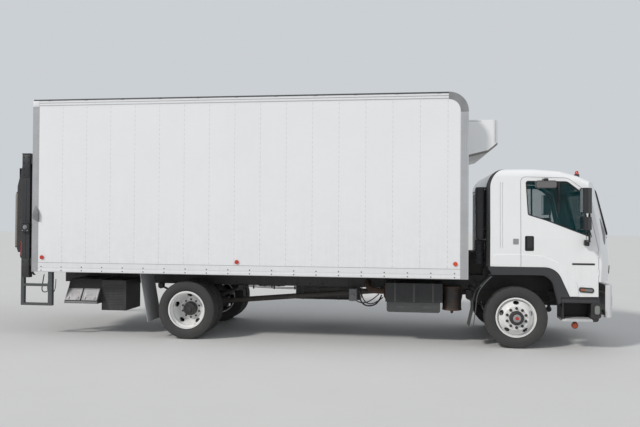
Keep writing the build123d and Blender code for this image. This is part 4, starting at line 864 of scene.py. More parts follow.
for side, name in SIDE_NAMES:
    wheel = f"{name}_front_wheel"
    face = side * 1.110
    bm = bmesh.new()
    nuts(bm, FRONT_AXLE, face, side)
    piece(f"front_nuts_{name}", bm, wheel, "nut_metal")
    bm = bmesh.new()
    spun(bm, [(face, 0.107), (face + side * 0.018, 0.105), (face + side * 0.042, 0.096),
              (face + side * 0.050, 0.086), (face + side * 0.050, 0.060), (face + side * 0.030, 0.058),
              (face + side * 0.030, 0.050)], FRONT_AXLE, WHEEL_Z, 48)
    for cx, cz in ring_of(8, 0.076, FRONT_AXLE, WHEEL_Z):
        peg(bm, "Y", cx, cz, face + side * 0.049, face + side * 0.055, 0.006, sides=6)
    piece(f"front_hub_ring_{name}", bm, wheel, "trim_plastic")
    bm = bmesh.new()
    spun(bm, [(face + side * 0.030, 0.059), (face + side * 0.051, 0.058), (face + side * 0.055, 0.050),
              (face + side * 0.056, 0.034), (face + side * 0.056, 0.0)], FRONT_AXLE, WHEEL_Z, 36)
    piece(f"front_hub_cap_{name}", bm, wheel, "grey_plastic")
    bm = bmesh.new()
    spun(bm, [(face + side * 0.054, 0.027), (face + side * 0.060, 0.025), (face + side * 0.0612, 0.0)],
         FRONT_AXLE, WHEEL_Z, 24)
    piece(f"front_hub_centre_{name}", bm, wheel, "deep_red_lens")
    wheel = f"{name}_rear_wheels"
    face = side * (0.915 + 0.011)
    bm = bmesh.new()
    nuts(bm, REAR_AXLE, face, side)
    spun(bm, [(face, 0.112), (face + side * 0.050, 0.110), (face + side * 0.086, 0.104),
              (face + side * 0.104, 0.094), (face + side * 0.110, 0.078), (face + side * 0.110, 0.050),
              (face + side * 0.122, 0.044), (face + side * 0.124, 0.0)], REAR_AXLE, WHEEL_Z, 40)
    for cx, cz in ring_of(8, 0.066, REAR_AXLE, WHEEL_Z, 0.5):
        peg(bm, "Y", cx, cz, face + side * 0.108, face + side * 0.120, 0.009, sides=6)
    piece(f"rear_hub_{name}", bm, wheel, "nut_metal")
    for axle, wheel, low, high in ((FRONT_AXLE, f"{name}_front_wheel", 1.072, 1.100),
                                   (REAR_AXLE, f"{name}_rear_wheels", 1.010, 1.150)):
        bm = bmesh.new()
        bar(bm, (axle + 0.12, side * low, WHEEL_Z - 0.215), (axle + 0.125, side * high, WHEEL_Z - 0.225),
            0.0042, 0.0034, sides=8)
        kind = "front" if axle > 0 else "rear"
        piece(f"{kind}_valve_{name}", bm, wheel, "steel")

def on_side(side):
    """Lays flat work (x, level, z) on the cab's side."""
    return lambda x, level, z: (x, side * (cab_y(z) + level), z)


def nose_x(z):
    """X of the cab's front face at a height."""
    steps = [(0.65, 1.358), (1.25, 1.392), (1.70, 1.356), (2.45, 1.170), (2.80, 1.083)]
    for (low, a), (high, b) in zip(steps, steps[1:]):
        if z <= high:
            return ax(a + (b - a) * (z - low) / (high - low))
    return ax(1.083)


def on_nose(y, level, z):
    """Lays flat work (y, level, z) on the cab's front face."""
    bend = 0.25 - math.sqrt(max(0.0, 0.0625 - max(0.0, abs(y) - 0.86) ** 2))
    return (nose_x(z) + level - bend, y, z)


def cut_across(bm, axis, level):
    """Cuts a form by a plane across an axis."""
    plane, normal = [0, 0, 0], [0, 0, 0]
    plane[axis], normal[axis] = level, 1
    bmesh.ops.bisect_plane(bm, geom=bm.verts[:] + bm.edges[:] + bm.faces[:], plane_co=plane,
                           plane_no=normal)


def flat_work(bm, corners, low, high, lay, rim=None, cuts=0):
    """Outline of (u, v, rounding) made a plate or an open rim, thickened and laid on a surface."""
    part = bmesh.new()
    verts = [part.verts.new((u, 0, v)) for u, v, r in corners]
    part.faces.new(verts)
    for vert, (u, v, r) in zip(verts, corners):
        if r:
            rounded(part, [vert], r, 6, "VERTICES", clamp=False)
    if rim:
        made = bmesh.ops.inset_individual(part, faces=part.faces[:], thickness=rim, use_even_offset=True)
        kept = set(made["faces"])
        bmesh.ops.delete(part, geom=[f for f in part.faces if f not in kept], context="FACES")
    for level in range(1, cuts + 1):
        for axis in (0, 2):
            spots = [v.co[axis] for v in part.verts]
            cut_across(part, axis, min(spots) + (max(spots) - min(spots)) * level / (cuts + 1))
    made = bmesh.ops.extrude_face_region(part, geom=part.faces[:])
    top = {g for g in made["geom"] if isinstance(g, bmesh.types.BMVert)}
    for v in part.verts:
        v.co = lay(v.co.x, high if v in top else low, v.co.z)
    merge(bm, part)


def shifted(corners):
    """Corners measured forward from the front axle, moved to their places."""
    return [(ax(x), z, r) for x, z, r in corners]


def cab_panel(left, right, low, high, corner):
    """Rectangle measured forward from the front axle."""
    return panel(ax(left), ax(right), low, high, corner)


# Cab side: window seals, handles, blank strip, lamp and mirrors
WINDOW = shifted([(0.133, 2.508, 0.04), (0.163, 1.995, 0.04), (0.420, 1.915, 0.05), (1.078, 1.660, 0.03),
                  (0.922, 2.352, 0.05), (0.735, 2.500, 0.06)])
for side, name in SIDE_NAMES:
    door = f"{name}_door"
    lay = on_side(side)
    bm = bmesh.new()
    flat_work(bm, WINDOW, -0.030, -0.003, lay, rim=0.016)
    flat_work(bm, WINDOW, -0.004, 0.0015, lay, rim=0.010)
    slab(bm, (ax(0.600), ax(0.628)), (side * 1.036, side * 1.060), (1.86, 2.49), 0.004,
         Matrix.Rotation(math.radians(-side * 2.7), 4, "X"))
    piece(f"window_seal_{name}", bm, door, "seal_rubber")

    bm = bmesh.new()
    flat_work(bm, cab_panel(0.123, 0.249, 1.461, 1.681, 0.018), -0.0215, -0.0195, lay)
    flat_work(bm, cab_panel(0.121, 0.251, 1.459, 1.683, 0.02), -0.0215, 0.0022, lay, rim=0.007)
    flat_work(bm, cab_panel(0.150, 0.232, 1.500, 1.672, 0.02), -0.012, -0.001, lay)
    peg(bm, "Y", ax(0.190), 1.482, side * (cab_y(1.48) - 0.020), side * (cab_y(1.48) - 0.010), 0.012,
        sides=20)
    piece(f"door_handle_{name}", bm, door, "trim_plastic")

    bm = bmesh.new()
    flat_work(bm, cab_panel(0.795, 1.115, 1.262, 1.288, 0.006), 0.0002, 0.004, lay)
    flat_work(bm, cab_panel(0.802, 1.108, 1.267, 1.283, 0.004), 0.004, 0.0048, lay, rim=0.003)
    piece(f"door_strip_{name}", bm, door, "trim_plastic")

    lamp = shifted([(0.893, 0.862, 0.03), (1.100, 0.852, 0.03), (1.104, 0.925, 0.03),
                    (0.893, 0.937, 0.03)])
    bm = bmesh.new()
    flat_work(bm, lamp, 0.0002, 0.011, lay, rim=0.018)
    piece(f"side_lamp_rim_{name}", bm, door, "trim_plastic")
    bm = bmesh.new()
    flat_work(bm, shifted([(0.907, 0.876, 0.02), (1.087, 0.867, 0.02), (1.090, 0.911, 0.02),
                           (0.907, 0.923, 0.02)]), 0.0002, 0.008, lay)
    piece(f"side_lamp_{name}", bm, door, "two_tone_lens")

    bm = bmesh.new()
    for low, high, out, inner in ((2.035, 2.370, 1.412, 1.254), (1.793, 1.955, 1.408, 1.262)):
        corners = panel(side * inner, side * out, low, high, 0.02)
        flat_work(bm, corners, 0.0, 0.003, facing("X", ax(0.8675), -1))
    piece(f"mirror_glass_{name}", bm, door, "mirror_glass")
    bm = bmesh.new()
    for low, high in ((2.022, 2.383), (1.782, 1.966)):
        corners = panel(side * 1.243, side * 1.422, low, high, 0.02)
        flat_work(bm, corners, 0.0, 0.006, facing("X", ax(0.8690), -1), rim=0.009)
    for z in (2.05, 2.35, 1.80, 1.95):
        peg(bm, "Z", ax(0.985), side * 1.290, z - 0.012, z + 0.012, 0.021, sides=18)
    slab(bm, (ax(0.960), ax(1.012)), (side * 1.098, side * 1.118), (1.548, 1.630), 0.008)
    for z in (1.565, 1.615):
        peg(bm, "Y", ax(0.986), z, side * 1.158, side * 1.166, 0.009, sides=6)
    pipe(bm, [(ax(0.978), side * 1.285, 2.02), (ax(0.960), side * 1.240, 1.86),
              (ax(0.965), side * 1.20, 1.72), (ax(0.978), side * 1.150, 1.64)], 0.004)
    piece(f"mirror_fittings_{name}", bm, door, "trim_plastic")

    # Inner face of the door: padded panel, arm rest, grip and pocket
    bm = bmesh.new()
    inner = side * 1.037
    plate(bm, "Y", [(ax(0.11), 1.27), (ax(1.09), 1.27), (ax(1.09), 1.60), (ax(0.42), 1.84),
                    (ax(0.11), 1.90)], inner, inner - side * 0.014, corner=0.03, edge=0.004)
    slab(bm, (ax(0.22), ax(0.74)), (inner - side * 0.012, inner - side * 0.075), (1.60, 1.655), 0.018)
    slab(bm, (ax(0.30), ax(0.95)), (inner - side * 0.012, inner - side * 0.055), (1.29, 1.41), 0.014)
    pipe(bm, [(ax(0.60), inner - side * 0.012, 1.70), (ax(0.62), inner - side * 0.055, 1.705),
              (ax(0.82), inner - side * 0.055, 1.655), (ax(0.84), inner - side * 0.012, 1.65)], 0.010)
    peg(bm, "Y", ax(0.36), 1.75, inner - side * 0.012, inner - side * 0.030, 0.022, sides=20)
    piece(f"door_trim_{name}", bm, door, "cabin_plastic")

# Mirror over the right window: glass and clamp
bm = bmesh.new()
flat_work(bm, cab_panel(0.250, 0.536, 2.394, 2.491, 0.03), 0.0, 0.003, facing("Y", -1.2048))
piece("low_view_glass", bm, "right_door", "mirror_glass")
bm = bmesh.new()
slab(bm, (ax(0.362), ax(0.424)), (-1.242, -1.228), (2.486, 2.534), 0.005)
flat_work(bm, cab_panel(0.241, 0.545, 2.385, 2.500, 0.035), 0.0, 0.004, facing("Y", -1.2512),
          rim=0.010)
for x in (0.375, 0.411):
    peg(bm, "Z", ax(x), -1.10, 2.530, 2.538, 0.007, sides=6)
piece("low_view_clamp", bm, "right_door", "trim_plastic")

# Cab shell: side vents, rear ribs and air intake
for side, name in SIDE_NAMES:
    lay = on_side(side)
    bm = bmesh.new()
    flat_work(bm, cab_panel(-0.050, 0.030, 1.555, 1.640, 0.008), 0.0002, 0.0030, lay)
    flat_work(bm, cab_panel(-0.044, 0.024, 1.561, 1.634, 0.005), 0.003, 0.0042, lay, rim=0.006)
    for n in range(4):
        z = 1.577 + 0.014 * n
        flat_work(bm, cab_panel(-0.030, 0.010, z, z + 0.006, 0), 0.0028, 0.0040, lay)
    piece(f"side_vent_{name}", bm, "cab", "grey_plastic")

bm = bmesh.new()
back = ax(-0.435)
for y in row(-0.86, 0.86, 0.215):
    slab(bm, (back - 0.006, back + 0.002), around(y, 0.022), (1.30, 2.38), 0.005)
slab(bm, (back - 0.008, back + 0.002), (-0.94, 0.94), (1.245, 1.275), 0.004)
slab(bm, (back - 0.008, back + 0.002), (-0.94, 0.94), (2.395, 2.420), 0.004)
piece("cab_back_ribs", bm, "cab", "dark_plastic")

bm = bmesh.new()
plate(bm, "Z", [(back - 0.012, -0.93), (back - 0.012, -0.73), (back - 0.135, -0.73),
                (back - 0.135, -0.93)], 1.62, 2.42, corner=0.03, edge=0.008)
for z in row(2.14, 2.38, 0.03):
    slab(bm, (back - 0.142, back - 0.130), (-0.915, -0.745), around(z, 0.009), 0.003)
    slab(bm, (back - 0.125, back - 0.025), (-0.938, -0.926), around(z, 0.009), 0.003)
for z in (1.78, 2.05):
    slab(bm, (back - 0.140, back + 0.001), (-0.936, -0.724), around(z, 0.012), 0.004)
bellows = [(1.24 + n * 0.017, 0.078 if n % 2 else 0.066) for n in range(23)]
spun_upright(bm, bellows, back - 0.075, -0.83, 28)
piece("air_intake", bm, "cab", "dark_plastic")

# Windscreen: rubber, black edge band, wipers and cowl
bm = bmesh.new()
SCREEN = [(-0.900, 1.700, 0.07), (0.900, 1.700, 0.07), (0.868, 2.395, 0.09), (-0.868, 2.395, 0.09)]
flat_work(bm, SCREEN, -0.030, 0.003, on_nose, rim=0.020)
piece("windscreen_seal", bm, "cab", "seal_rubber")
bm = bmesh.new()
inset = [(-0.882, 1.716, 0.06), (0.882, 1.716, 0.06), (0.851, 2.378, 0.08), (-0.851, 2.378, 0.08)]
flat_work(bm, inset, -0.0158, -0.0148, on_nose, rim=0.045)
for y in (-0.78, -0.10):
    foot = Vector(on_nose(y, 0.006, 1.665))
    tip = Vector(on_nose(y + 0.60, 0.009, 1.755))
    elbow = Vector(on_nose(y + 0.30, 0.011, 1.700))
    pipe(bm, [foot, foot.lerp(elbow, 0.5), elbow, tip], 0.007)
    bar(bm, Vector(on_nose(y, -0.006, 1.665)), Vector(on_nose(y, 0.013, 1.665)), 0.018, 0.014, sides=16)
    blade = [Vector(on_nose(y + 0.62 + s, 0.002, 1.742 + s * 0.05)) for s in (-0.32, -0.1, 0.1, 0.30)]
    pipe(bm, blade, 0.006)
    for low, high in zip(blade, blade[1:]):
        bar(bm, low.lerp(high, 0.5) + Vector((0.010, 0, 0.002)), low + Vector((0.004, 0, 0)), 0.004,
            sides=6)
flat_work(bm, panel(-0.80, 0.80, 1.622, 1.656, 0.012), -0.004, 0.0025, on_nose, cuts=1)
for n in range(23):
    y = -0.748 + n * 0.068
    flat_work(bm, panel(y - 0.020, y + 0.020, 1.630, 1.648, 0.004), 0.002, 0.005, on_nose)
piece("wipers_and_cowl", bm, "cab", "trim_plastic")

# Front: grille surround, blank shield, turn lamps
bm = bmesh.new()
flat_work(bm, [(-0.640, 1.098, 0.04), (0.640, 1.098, 0.04), (0.675, 1.402, 0.04), (-0.675, 1.402, 0.04)],
          0.0002, 0.010, on_nose, rim=0.034)
for z in (1.17, 1.23, 1.29, 1.35):
    flat_work(bm, panel(-0.55, 0.55, z - 0.006, z + 0.006, 0.004), 0.0, 0.008, on_nose)
piece("grille_surround", bm, "cab", "trim_plastic")
bm = bmesh.new()
flat_work(bm, panel(-0.115, 0.115, 1.455, 1.535, 0.02), 0.0002, 0.005, on_nose)
flat_work(bm, panel(-0.105, 0.105, 1.463, 1.527, 0.02), 0.005, 0.0065, on_nose, rim=0.006)
piece("blank_shield", bm, "cab", "grey_plastic")
for side, name in SIDE_NAMES:
    bm = bmesh.new()
    corners = [(side * 0.700, 1.120, 0.02), (side * 0.850, 1.120, 0.02), (side * 0.850, 1.250, 0.02),
               (side * 0.712, 1.250, 0.02)]
    flat_work(bm, corners, 0.0002, 0.0035, on_nose)
    piece(f"turn_lamp_{name}", bm, "cab", "clear_lens")

# Steps under the doors, corner lamps and round reflectors
for side, name in SIDE_NAMES:
    out = side * 1.098
    on_step = facing("Y", out, side)
    bm = bmesh.new()
    slab(bm, (ax(0.655), ax(1.085)), (out, side * 0.800), (0.4525, 0.4585), 0.0015)
    for x in row(0.672, 1.068, 0.036):
        part = bmesh.new()
        plate(part, "Y", [(ax(x) - 0.017, 0.4585), (ax(x) + 0.017, 0.4585), (ax(x) + 0.006, 0.4700),
                          (ax(x) - 0.006, 0.4700)], out, side * 0.82)
        merge(bm, part)
        peg(bm, "Y", ax(x), 0.440, out - side * 0.003, out + side * 0.0015, 0.011, sides=8)
    slab(bm, (ax(0.650), ax(1.088)), (out - side * 0.002, out + side * 0.0035), (0.428, 0.4585), 0.0015)
    piece(f"step_tread_{name}", bm, "cab", "tread_metal")
    bm = bmesh.new()
    slab(bm, (ax(0.640), ax(1.176)), (out - side * 0.004, out + side * 0.006), (0.704, 0.752), 0.004)
    slab(bm, (ax(0.650), ax(1.168)), (side * 0.90, out), (0.7755, 0.7790), 0.001)
    for x in row(0.70, 1.12, 0.035):
        slab(bm, around(ax(x), 0.008), (side * 0.92, side * 1.08), (0.779, 0.7825), 0.001)
    piece(f"upper_tread_{name}", bm, "cab", "dark_plastic")
    bm = bmesh.new()
    corners = [(ax(1.060), 0.480, 0.03), (ax(1.205), 0.480, 0.045), (ax(1.205), 0.706, 0.03),
               (ax(1.060), 0.706, 0.03)]
    flat_work(bm, corners, -0.010, 0.008, on_step)
    corners = panel(ax(1.098), ax(1.192), 0.532, 0.684, 0.043)
    flat_work(bm, corners, 0.006, 0.018, on_step, rim=0.010)
    for x, z in ((0.665, 0.60), (0.665, 0.66), (1.080, 0.470)):
        peg(bm, "Y", ax(x), z, out - side * 0.004, out + side * 0.004, 0.007, sides=6)
    piece(f"corner_lamp_rim_{name}", bm, "cab", "trim_plastic")
    bm = bmesh.new()
    corners = panel(ax(1.106), ax(1.184), 0.540, 0.676, 0.036)
    flat_work(bm, corners, 0.006, 0.014, on_step)
    piece(f"corner_lamp_{name}", bm, "cab", "smoke_lens")
    bm = bmesh.new()
    slab(bm, (ax(0.858), ax(0.912)), (side * 0.875, side * 0.890), (0.345, 0.4295), 0.003)
    slab(bm, (ax(0.835), ax(0.935)), (side * 0.82, side * 0.90), (0.424, 0.4298), 0.002)
    peg(bm, "Y", ax(0.885), 0.342, side * 0.889, side * 0.896, 0.050, sides=32)
    piece(f"reflector_bracket_{name}", bm, "cab", "trim_plastic")
    bm = bmesh.new()
    spun(bm, [(side * 0.8955, 0.044), (side * 0.904, 0.042), (side * 0.909, 0.030), (side * 0.911, 0.0)],
         ax(0.885), 0.342, 32)
    piece(f"round_reflector_{name}", bm, "cab", "orange_lens")

# Bumper: tow covers, middle grid, blank plate, lamp rims
bm = bmesh.new()
face = ax(1.420)
for y in (-0.36, 0.36):
    slab(bm, (face - 0.003, face - 0.0005), around(y, 0.045), (0.56, 0.64), 0.001)
    peg(bm, "X", y, 0.60, face - 0.006, face - 0.0002, 0.022, sides=24)
slab(bm, (face - 0.006, face - 0.0005), (-0.40, 0.40), (0.875, 0.935), 0.002)
for n in range(18):
    y = -0.36 + n * 0.0424
    slab(bm, (face - 0.004, face - 0.0001), around(y, 0.014), (0.888, 0.922), 0.001)
piece("bumper_fittings", bm, "chassis", "trim_plastic")
bm = bmesh.new()
slab(bm, (face - 0.0035, face - 0.0001), (-0.165, 0.165), (0.66, 0.80), 0.0015)
flat_work(bm, panel(-0.160, 0.160, 0.664, 0.796, 0.008), -0.0006, 0.0, facing("X", face), rim=0.006)
piece("blank_plate", bm, "chassis", "rivet_metal")
for side, name in SIDE_NAMES:
    bm = bmesh.new()
    flat_work(bm, panel(side * 0.532, side * 0.908, 0.642, 0.798, 0.02), -0.010, 0.002,
              facing("X", ax(1.412)), rim=0.010)
    for y, r in ((0.62, 0.056), (0.76, 0.056), (0.868, 0.030)):
        spun_part(bm, [(ax(1.4095), r), (ax(1.4135), r - 0.002), (ax(1.4135), r - 0.010),
                       (ax(1.4095), r - 0.012)], side * y, 0.720, 32)
    piece(f"headlamp_rims_{name}", bm, "chassis", "steel")

# Wheel arch edges and the edges of the front guards
bm = bmesh.new()
for side in SIDES:
    out = side * 1.1082
    pipe(bm, [(ax(-0.418), out, 1.100), (ax(0.30), out, 1.106), (ax(0.46), out, 1.10),
              (ax(0.53), out, 1.02), (ax(0.598), out, 0.69), (ax(0.62), out, 0.69)], 0.005)
    for x in row(-0.36, 0.34, 0.14):
        peg(bm, "Y", ax(x), 1.165, side * 1.106, side * 1.1105, 0.009, sides=10)
piece("arch_edges", bm, "cab", "dark_plastic")
bm = bmesh.new()
for side in SIDES:
    out = side * 1.204
    pipe(bm, [(ax(-0.372), out, 1.082), (ax(-0.50), out, 0.96), (ax(-0.588), out, 0.80),
              (ax(-0.600), out, 0.62), (ax(-0.640), out, 0.33)], 0.007)
    peg(bm, "Y", ax(-0.52), 0.93, side * 0.43, side * 1.18, 0.016)
piece("guard_edges", bm, "chassis", "step_steel")

# Cooling unit: seams, front louvres, fan guards, drain hoses
bm = bmesh.new()
front = ax(-0.250)
for side in SIDES:
    out = side * 0.950
    slab(bm, (ax(-0.298), ax(-0.292)), (out - side * 0.004, out + side * 0.0006), (3.10, 3.440), 0.0008)
    slab(bm, (ax(-0.71), ax(-0.50)), (out - side * 0.004, out + side * 0.0008), (3.425, 3.431), 0.0008)
for low, high in ((-0.82, -0.30), (-0.26, 0.26), (0.30, 0.82)):
    flat_work(bm, panel(low, high, 3.12, 3.40, 0.02), -0.002, 0.004, facing("X", front - 0.0045),
              rim=0.012)
    for z in row(3.145, 3.375, 0.023):
        slab(bm, (front - 0.006, front - 0.0005), (low + 0.012, high - 0.012), around(z, 0.004), 0.0015,
             Matrix.Rotation(0.5, 4, "Y"))
piece("unit_louvres", bm, "chassis", "grey_plastic")
FAN_X = ax(-0.475)
bm = bmesh.new()
for y in (-0.48, 0.0, 0.48):
    for r in (0.05, 0.09, 0.13, 0.17):
        spun_upright(bm, [(3.4482, r), (3.4545, r - 0.002), (3.4545, r - 0.006), (3.4482, r - 0.008)],
                     FAN_X, y, 36)
    for turn in range(3):
        way = Vector((math.cos(turn * math.pi / 3), math.sin(turn * math.pi / 3), 0)) * 0.170
        middle = Vector((FAN_X, y, 3.4530))
        bar(bm, middle - way, middle + way, 0.003, sides=6)
piece("fan_guards", bm, "chassis", "trim_plastic")
bm = bmesh.new()
wall = BOX_FRONT + 0.020
for y, r in ((-0.52, 0.016), (-0.47, 0.012), (0.50, 0.014)):
    pipe(bm, [(wall + 0.03, y, 2.93), (wall + 0.012, y, 2.86), (wall, y, 2.6), (wall, y, 1.6),
              (wall, y, 1.15), (wall - 0.03, y, 1.06), (wall - 0.08, y * 0.8, 0.99)], r)
    for z in (2.6, 2.1, 1.6, 1.2):
        slab(bm, (BOX_FRONT - 0.0005, wall + r + 0.003), (y - r - 0.006, y + r + 0.006), around(z, 0.012),
             0.003)
piece("unit_hoses", bm, "chassis", "hose_rubber")

# Front wall of the box: rivets
bm = bmesh.new()
for y in row(-1.18, 1.18, 0.295):
    rivets(bm, [(BOX_FRONT, y, z) for z in row(1.10, 3.50, 0.08)], (1, 0, 0), r=0.005, height=0.002)
piece("front_wall_rivets", bm, "chassis", "rivet_metal")

# Rear: lamp rims, reversing lamps, roll door fittings, header lamps
TAIL_LAMP_X = -4.4875
bm = bmesh.new()
for side in SIDES:
    for low, high in ((1.288, 1.366), (1.370, 1.442), (1.446, 1.522)):
        flat_work(bm, panel(side * 1.197, side * 1.273, low, high, 0.012), 0.0, 0.006,
                  facing("X", TAIL_LAMP_X, -1), rim=0.007)
piece("tail_lamp_rims", bm, "chassis", "trim_plastic")
bm = bmesh.new()
for side in SIDES:
    flat_work(bm, panel(side * 1.205, side * 1.265, 1.377, 1.435, 0.01), 0.0, 0.003,
              facing("X", TAIL_LAMP_X, -1))
piece("reversing_lamps", bm, "chassis", "clear_lens")

DOOR_FACE = -4.2555
bm = bmesh.new()
for z in row(1.25, 3.60, 0.336)[1:-1]:
    slab(bm, (DOOR_FACE - 0.0016, DOOR_FACE + 0.002), (-1.158, 1.158), around(z, 0.005), 0.0012)
    for y in (-1.02, -0.52, 0.0, 0.52, 1.02):
        for shift in (-0.022, 0.022):
            peg(bm, "X", y + shift, z + 0.024, DOOR_FACE + 0.001, DOOR_FACE - 0.003, 0.006, sides=8)
slab(bm, (DOOR_FACE - 0.006, DOOR_FACE + 0.002), (-1.158, 1.158), (1.252, 1.284), 0.003)
slab(bm, (DOOR_FACE - 0.010, DOOR_FACE + 0.001), (-0.090, 0.090), (1.330, 1.500), 0.004)
for y in (-0.060, 0.060):
    for z in (1.352, 1.478):
        peg(bm, "X", y, z, DOOR_FACE - 0.008, DOOR_FACE - 0.016, 0.008, sides=6)
peg(bm, "X", 0, 1.440, DOOR_FACE - 0.008, DOOR_FACE - 0.034, 0.016, 0.014, sides=20)
slab(bm, (DOOR_FACE - 0.042, DOOR_FACE - 0.030), (-0.016, 0.120), (1.424, 1.456), 0.005)
slab(bm, (DOOR_FACE - 0.030, DOOR_FACE - 0.008), (-0.024, 0.024), (1.262, 1.345), 0.005)
for y in (-0.62, 0.62):
    pipe(bm, [(DOOR_FACE, y - 0.07, 1.42), (DOOR_FACE - 0.040, y - 0.065, 1.42),
              (DOOR_FACE - 0.044, y, 1.42), (DOOR_FACE - 0.040, y + 0.065, 1.42),
              (DOOR_FACE, y + 0.07, 1.42)], 0.008)
piece("roll_door_fittings", bm, "chassis", "bracket_metal")

bm = bmesh.new()
for y in (-1.12, -0.19, 0.0, 0.19, 1.12):
    flat_work(bm, panel(y - 0.060, y + 0.060, 3.735, 3.770, 0.016), -0.001, 0.014,
              facing("X", BOX_REAR, -1))
piece("header_lamps", bm, "chassis", "deep_red_lens")
bm = bmesh.new()
for y in (-1.12, -0.19, 0.0, 0.19, 1.12):
    flat_work(bm, panel(y - 0.070, y + 0.070, 3.726, 3.779, 0.02), -0.001, 0.007,
              facing("X", BOX_REAR, -1), rim=0.009)
for y in (-1.215, 1.215):
    for z in row(1.20, 3.55, 0.235):
        rivets(bm, [(BOX_REAR, y - 0.02, z), (BOX_REAR, y + 0.02, z)], (-1, 0, 0), r=0.006, height=0.003)
piece("header_lamp_rims", bm, "chassis", "trim_plastic")

# Tail lift: column caps and bolts, hoses, control box, post bracket, deck hinges and edges
bm = bmesh.new()
for side in SIDES:
    out = side * 1.280
    slab(bm, (-4.473, -4.327), (side * 1.187, side * 1.283), (2.943, 2.953), 0.003)
    slab(bm, (-4.464, -4.336), (out - side * 0.001, out + side * 0.006), (2.560, 2.925), 0.002)
    for z in (2.60, 2.70, 2.80, 2.89):
        for x in (-4.440, -4.360):
            peg(bm, "Y", x, z, out + side * 0.004, out + side * 0.013, 0.011, sides=6)
    slab(bm, (-4.405, -4.395), (out - side * 0.001, out + side * 0.004), (1.02, 2.55), 0.0015)
    for z in (1.00, 1.10, 1.20):
        for x in (-4.450, -4.350):
            peg(bm, "Y", x, z, out, out + side * 0.010, 0.012, sides=6)
    slab(bm, (-4.466, -4.334), (out - side * 0.001, out + side * 0.005), (0.965, 1.235), 0.002)
    for z in (1.48, 2.33):
        slab(bm, (-4.300, -4.282), (side * 1.20, side * 1.27), around(z, 0.03), 0.004)
piece("column_fittings", bm, "chassis", "lift_paint")
bm = bmesh.new()
for y in (-1.218, -1.248):
    pipe(bm, [(-4.26, y, 0.98), (-4.30, y, 1.00), (-4.312, y, 1.10), (-4.312, y, 1.60), (-4.312, y, 2.40),
              (-4.312, y, 2.74), (-4.33, y + 0.02, 2.80)], 0.009)
pipe(bm, [(-4.03, -1.10, 0.92), (-4.02, -1.16, 0.76), (-4.08, -1.20, 0.69), (-4.17, -1.18, 0.71),
          (-4.20, -1.10, 0.84), (-4.21, -1.04, 0.97)], 0.008)
pipe(bm, [(-3.99, -1.06, 0.90), (-3.97, -1.10, 0.73), (-4.02, -1.12, 0.665), (-4.12, -1.10, 0.70),
          (-4.15, -1.02, 0.86), (-4.16, -0.98, 0.97)], 0.006)
piece("lift_hoses", bm, "chassis", "hose_rubber")
bm = bmesh.new()
slab(bm, (-4.452, -4.312), (-1.325, -1.285), (1.676, 1.818), 0.008, segments=3)
flat_work(bm, panel(-4.444, -4.320, 1.684, 1.810, 0.01), 0.0, 0.003, facing("Y", -1.3245, -1), rim=0.006)
slab(bm, (-4.46, -4.30), (-1.334, -1.282), (1.818, 1.826), 0.003)
piece("control_box", bm, "chassis", "lift_paint")
bm = bmesh.new()
peg(bm, "Y", -4.382, 1.752, -1.324, -1.332, 0.034, 0.032, sides=28)
peg(bm, "Y", -4.382, 1.752, -1.331, -1.342, 0.018, 0.016, sides=20)
slab(bm, (-4.387, -4.377), (-1.347, -1.340), (1.735, 1.769), 0.002)
for x in (-4.425, -4.340):
    peg(bm, "Y", x, 1.700, -1.324, -1.330, 0.009, sides=16)
piece("control_knob", bm, "chassis", "grey_plastic")
bm = bmesh.new()
plate(bm, "Y", [(-4.270, 1.960), (-4.222, 2.108), (-4.158, 2.032), (-4.152, 1.842), (-4.182, 1.842),
                (-4.266, 1.892)], -1.2955, -1.3015, corner=0.008, edge=0.001)
plate(bm, "X", [(-1.3005, 1.850), (-1.340, 1.880), (-1.340, 1.990), (-1.3005, 2.025)], -4.162, -4.156,
      corner=0.006, edge=0.001)
for x, z in ((-4.230, 1.93), (-4.185, 1.90), (-4.190, 2.03)):
    peg(bm, "Y", x, z, -1.301, -1.306, 0.008, sides=6)
piece("post_bracket", bm, "chassis", "bracket_metal")

bm = bmesh.new()
for y in row(-0.84, 0.84, 0.28):
    peg(bm, "Y", -4.741, 2.356, y - 0.050, y + 0.050, 0.015, sides=16)
    slab(bm, (-4.760, -4.733), around(y, 0.045), (2.325, 2.356), 0.004)
    slab(bm, (-4.742, -4.722), (y + 0.055, y + 0.120), (2.341, 2.371), 0.004)
for side in SIDES:
    slab(bm, (-4.7235, -4.7215), (side * 0.60, side * 0.955), (2.44, 2.74), 0.0006)
    out = side * 1.010
    for z in row(1.45, 2.60, 0.23):
        peg(bm, "Y", -4.668, z, out - side * 0.004, out + side * 0.004, 0.009, sides=6)
    slab(bm, (-4.700, -4.640), (out - side * 0.002, out + side * 0.003), (1.42, 1.46), 0.001)
piece("deck_hinges", bm, "lift_deck", "lift_paint")
bm = bmesh.new()
for side in SIDES:
    out = side * 0.970
    slab(bm, (-4.775, -4.735), (out - side * 0.002, out + side * 0.0035), (1.425, 2.318), 0.0015)
piece("deck_edges", bm, "lift_deck", "deck_edge")

# Power pack: lid plates, latches, vents and tread lip
LID_RUN, LID_RISE = 0.520, 0.854


def on_lid(x, level, v):
    """Lays flat work on the sloping lids, v up from their lower edge."""
    return (x, -1.147 + LID_RUN * v - LID_RISE * level, 0.568 + LID_RISE * v + LID_RUN * level)


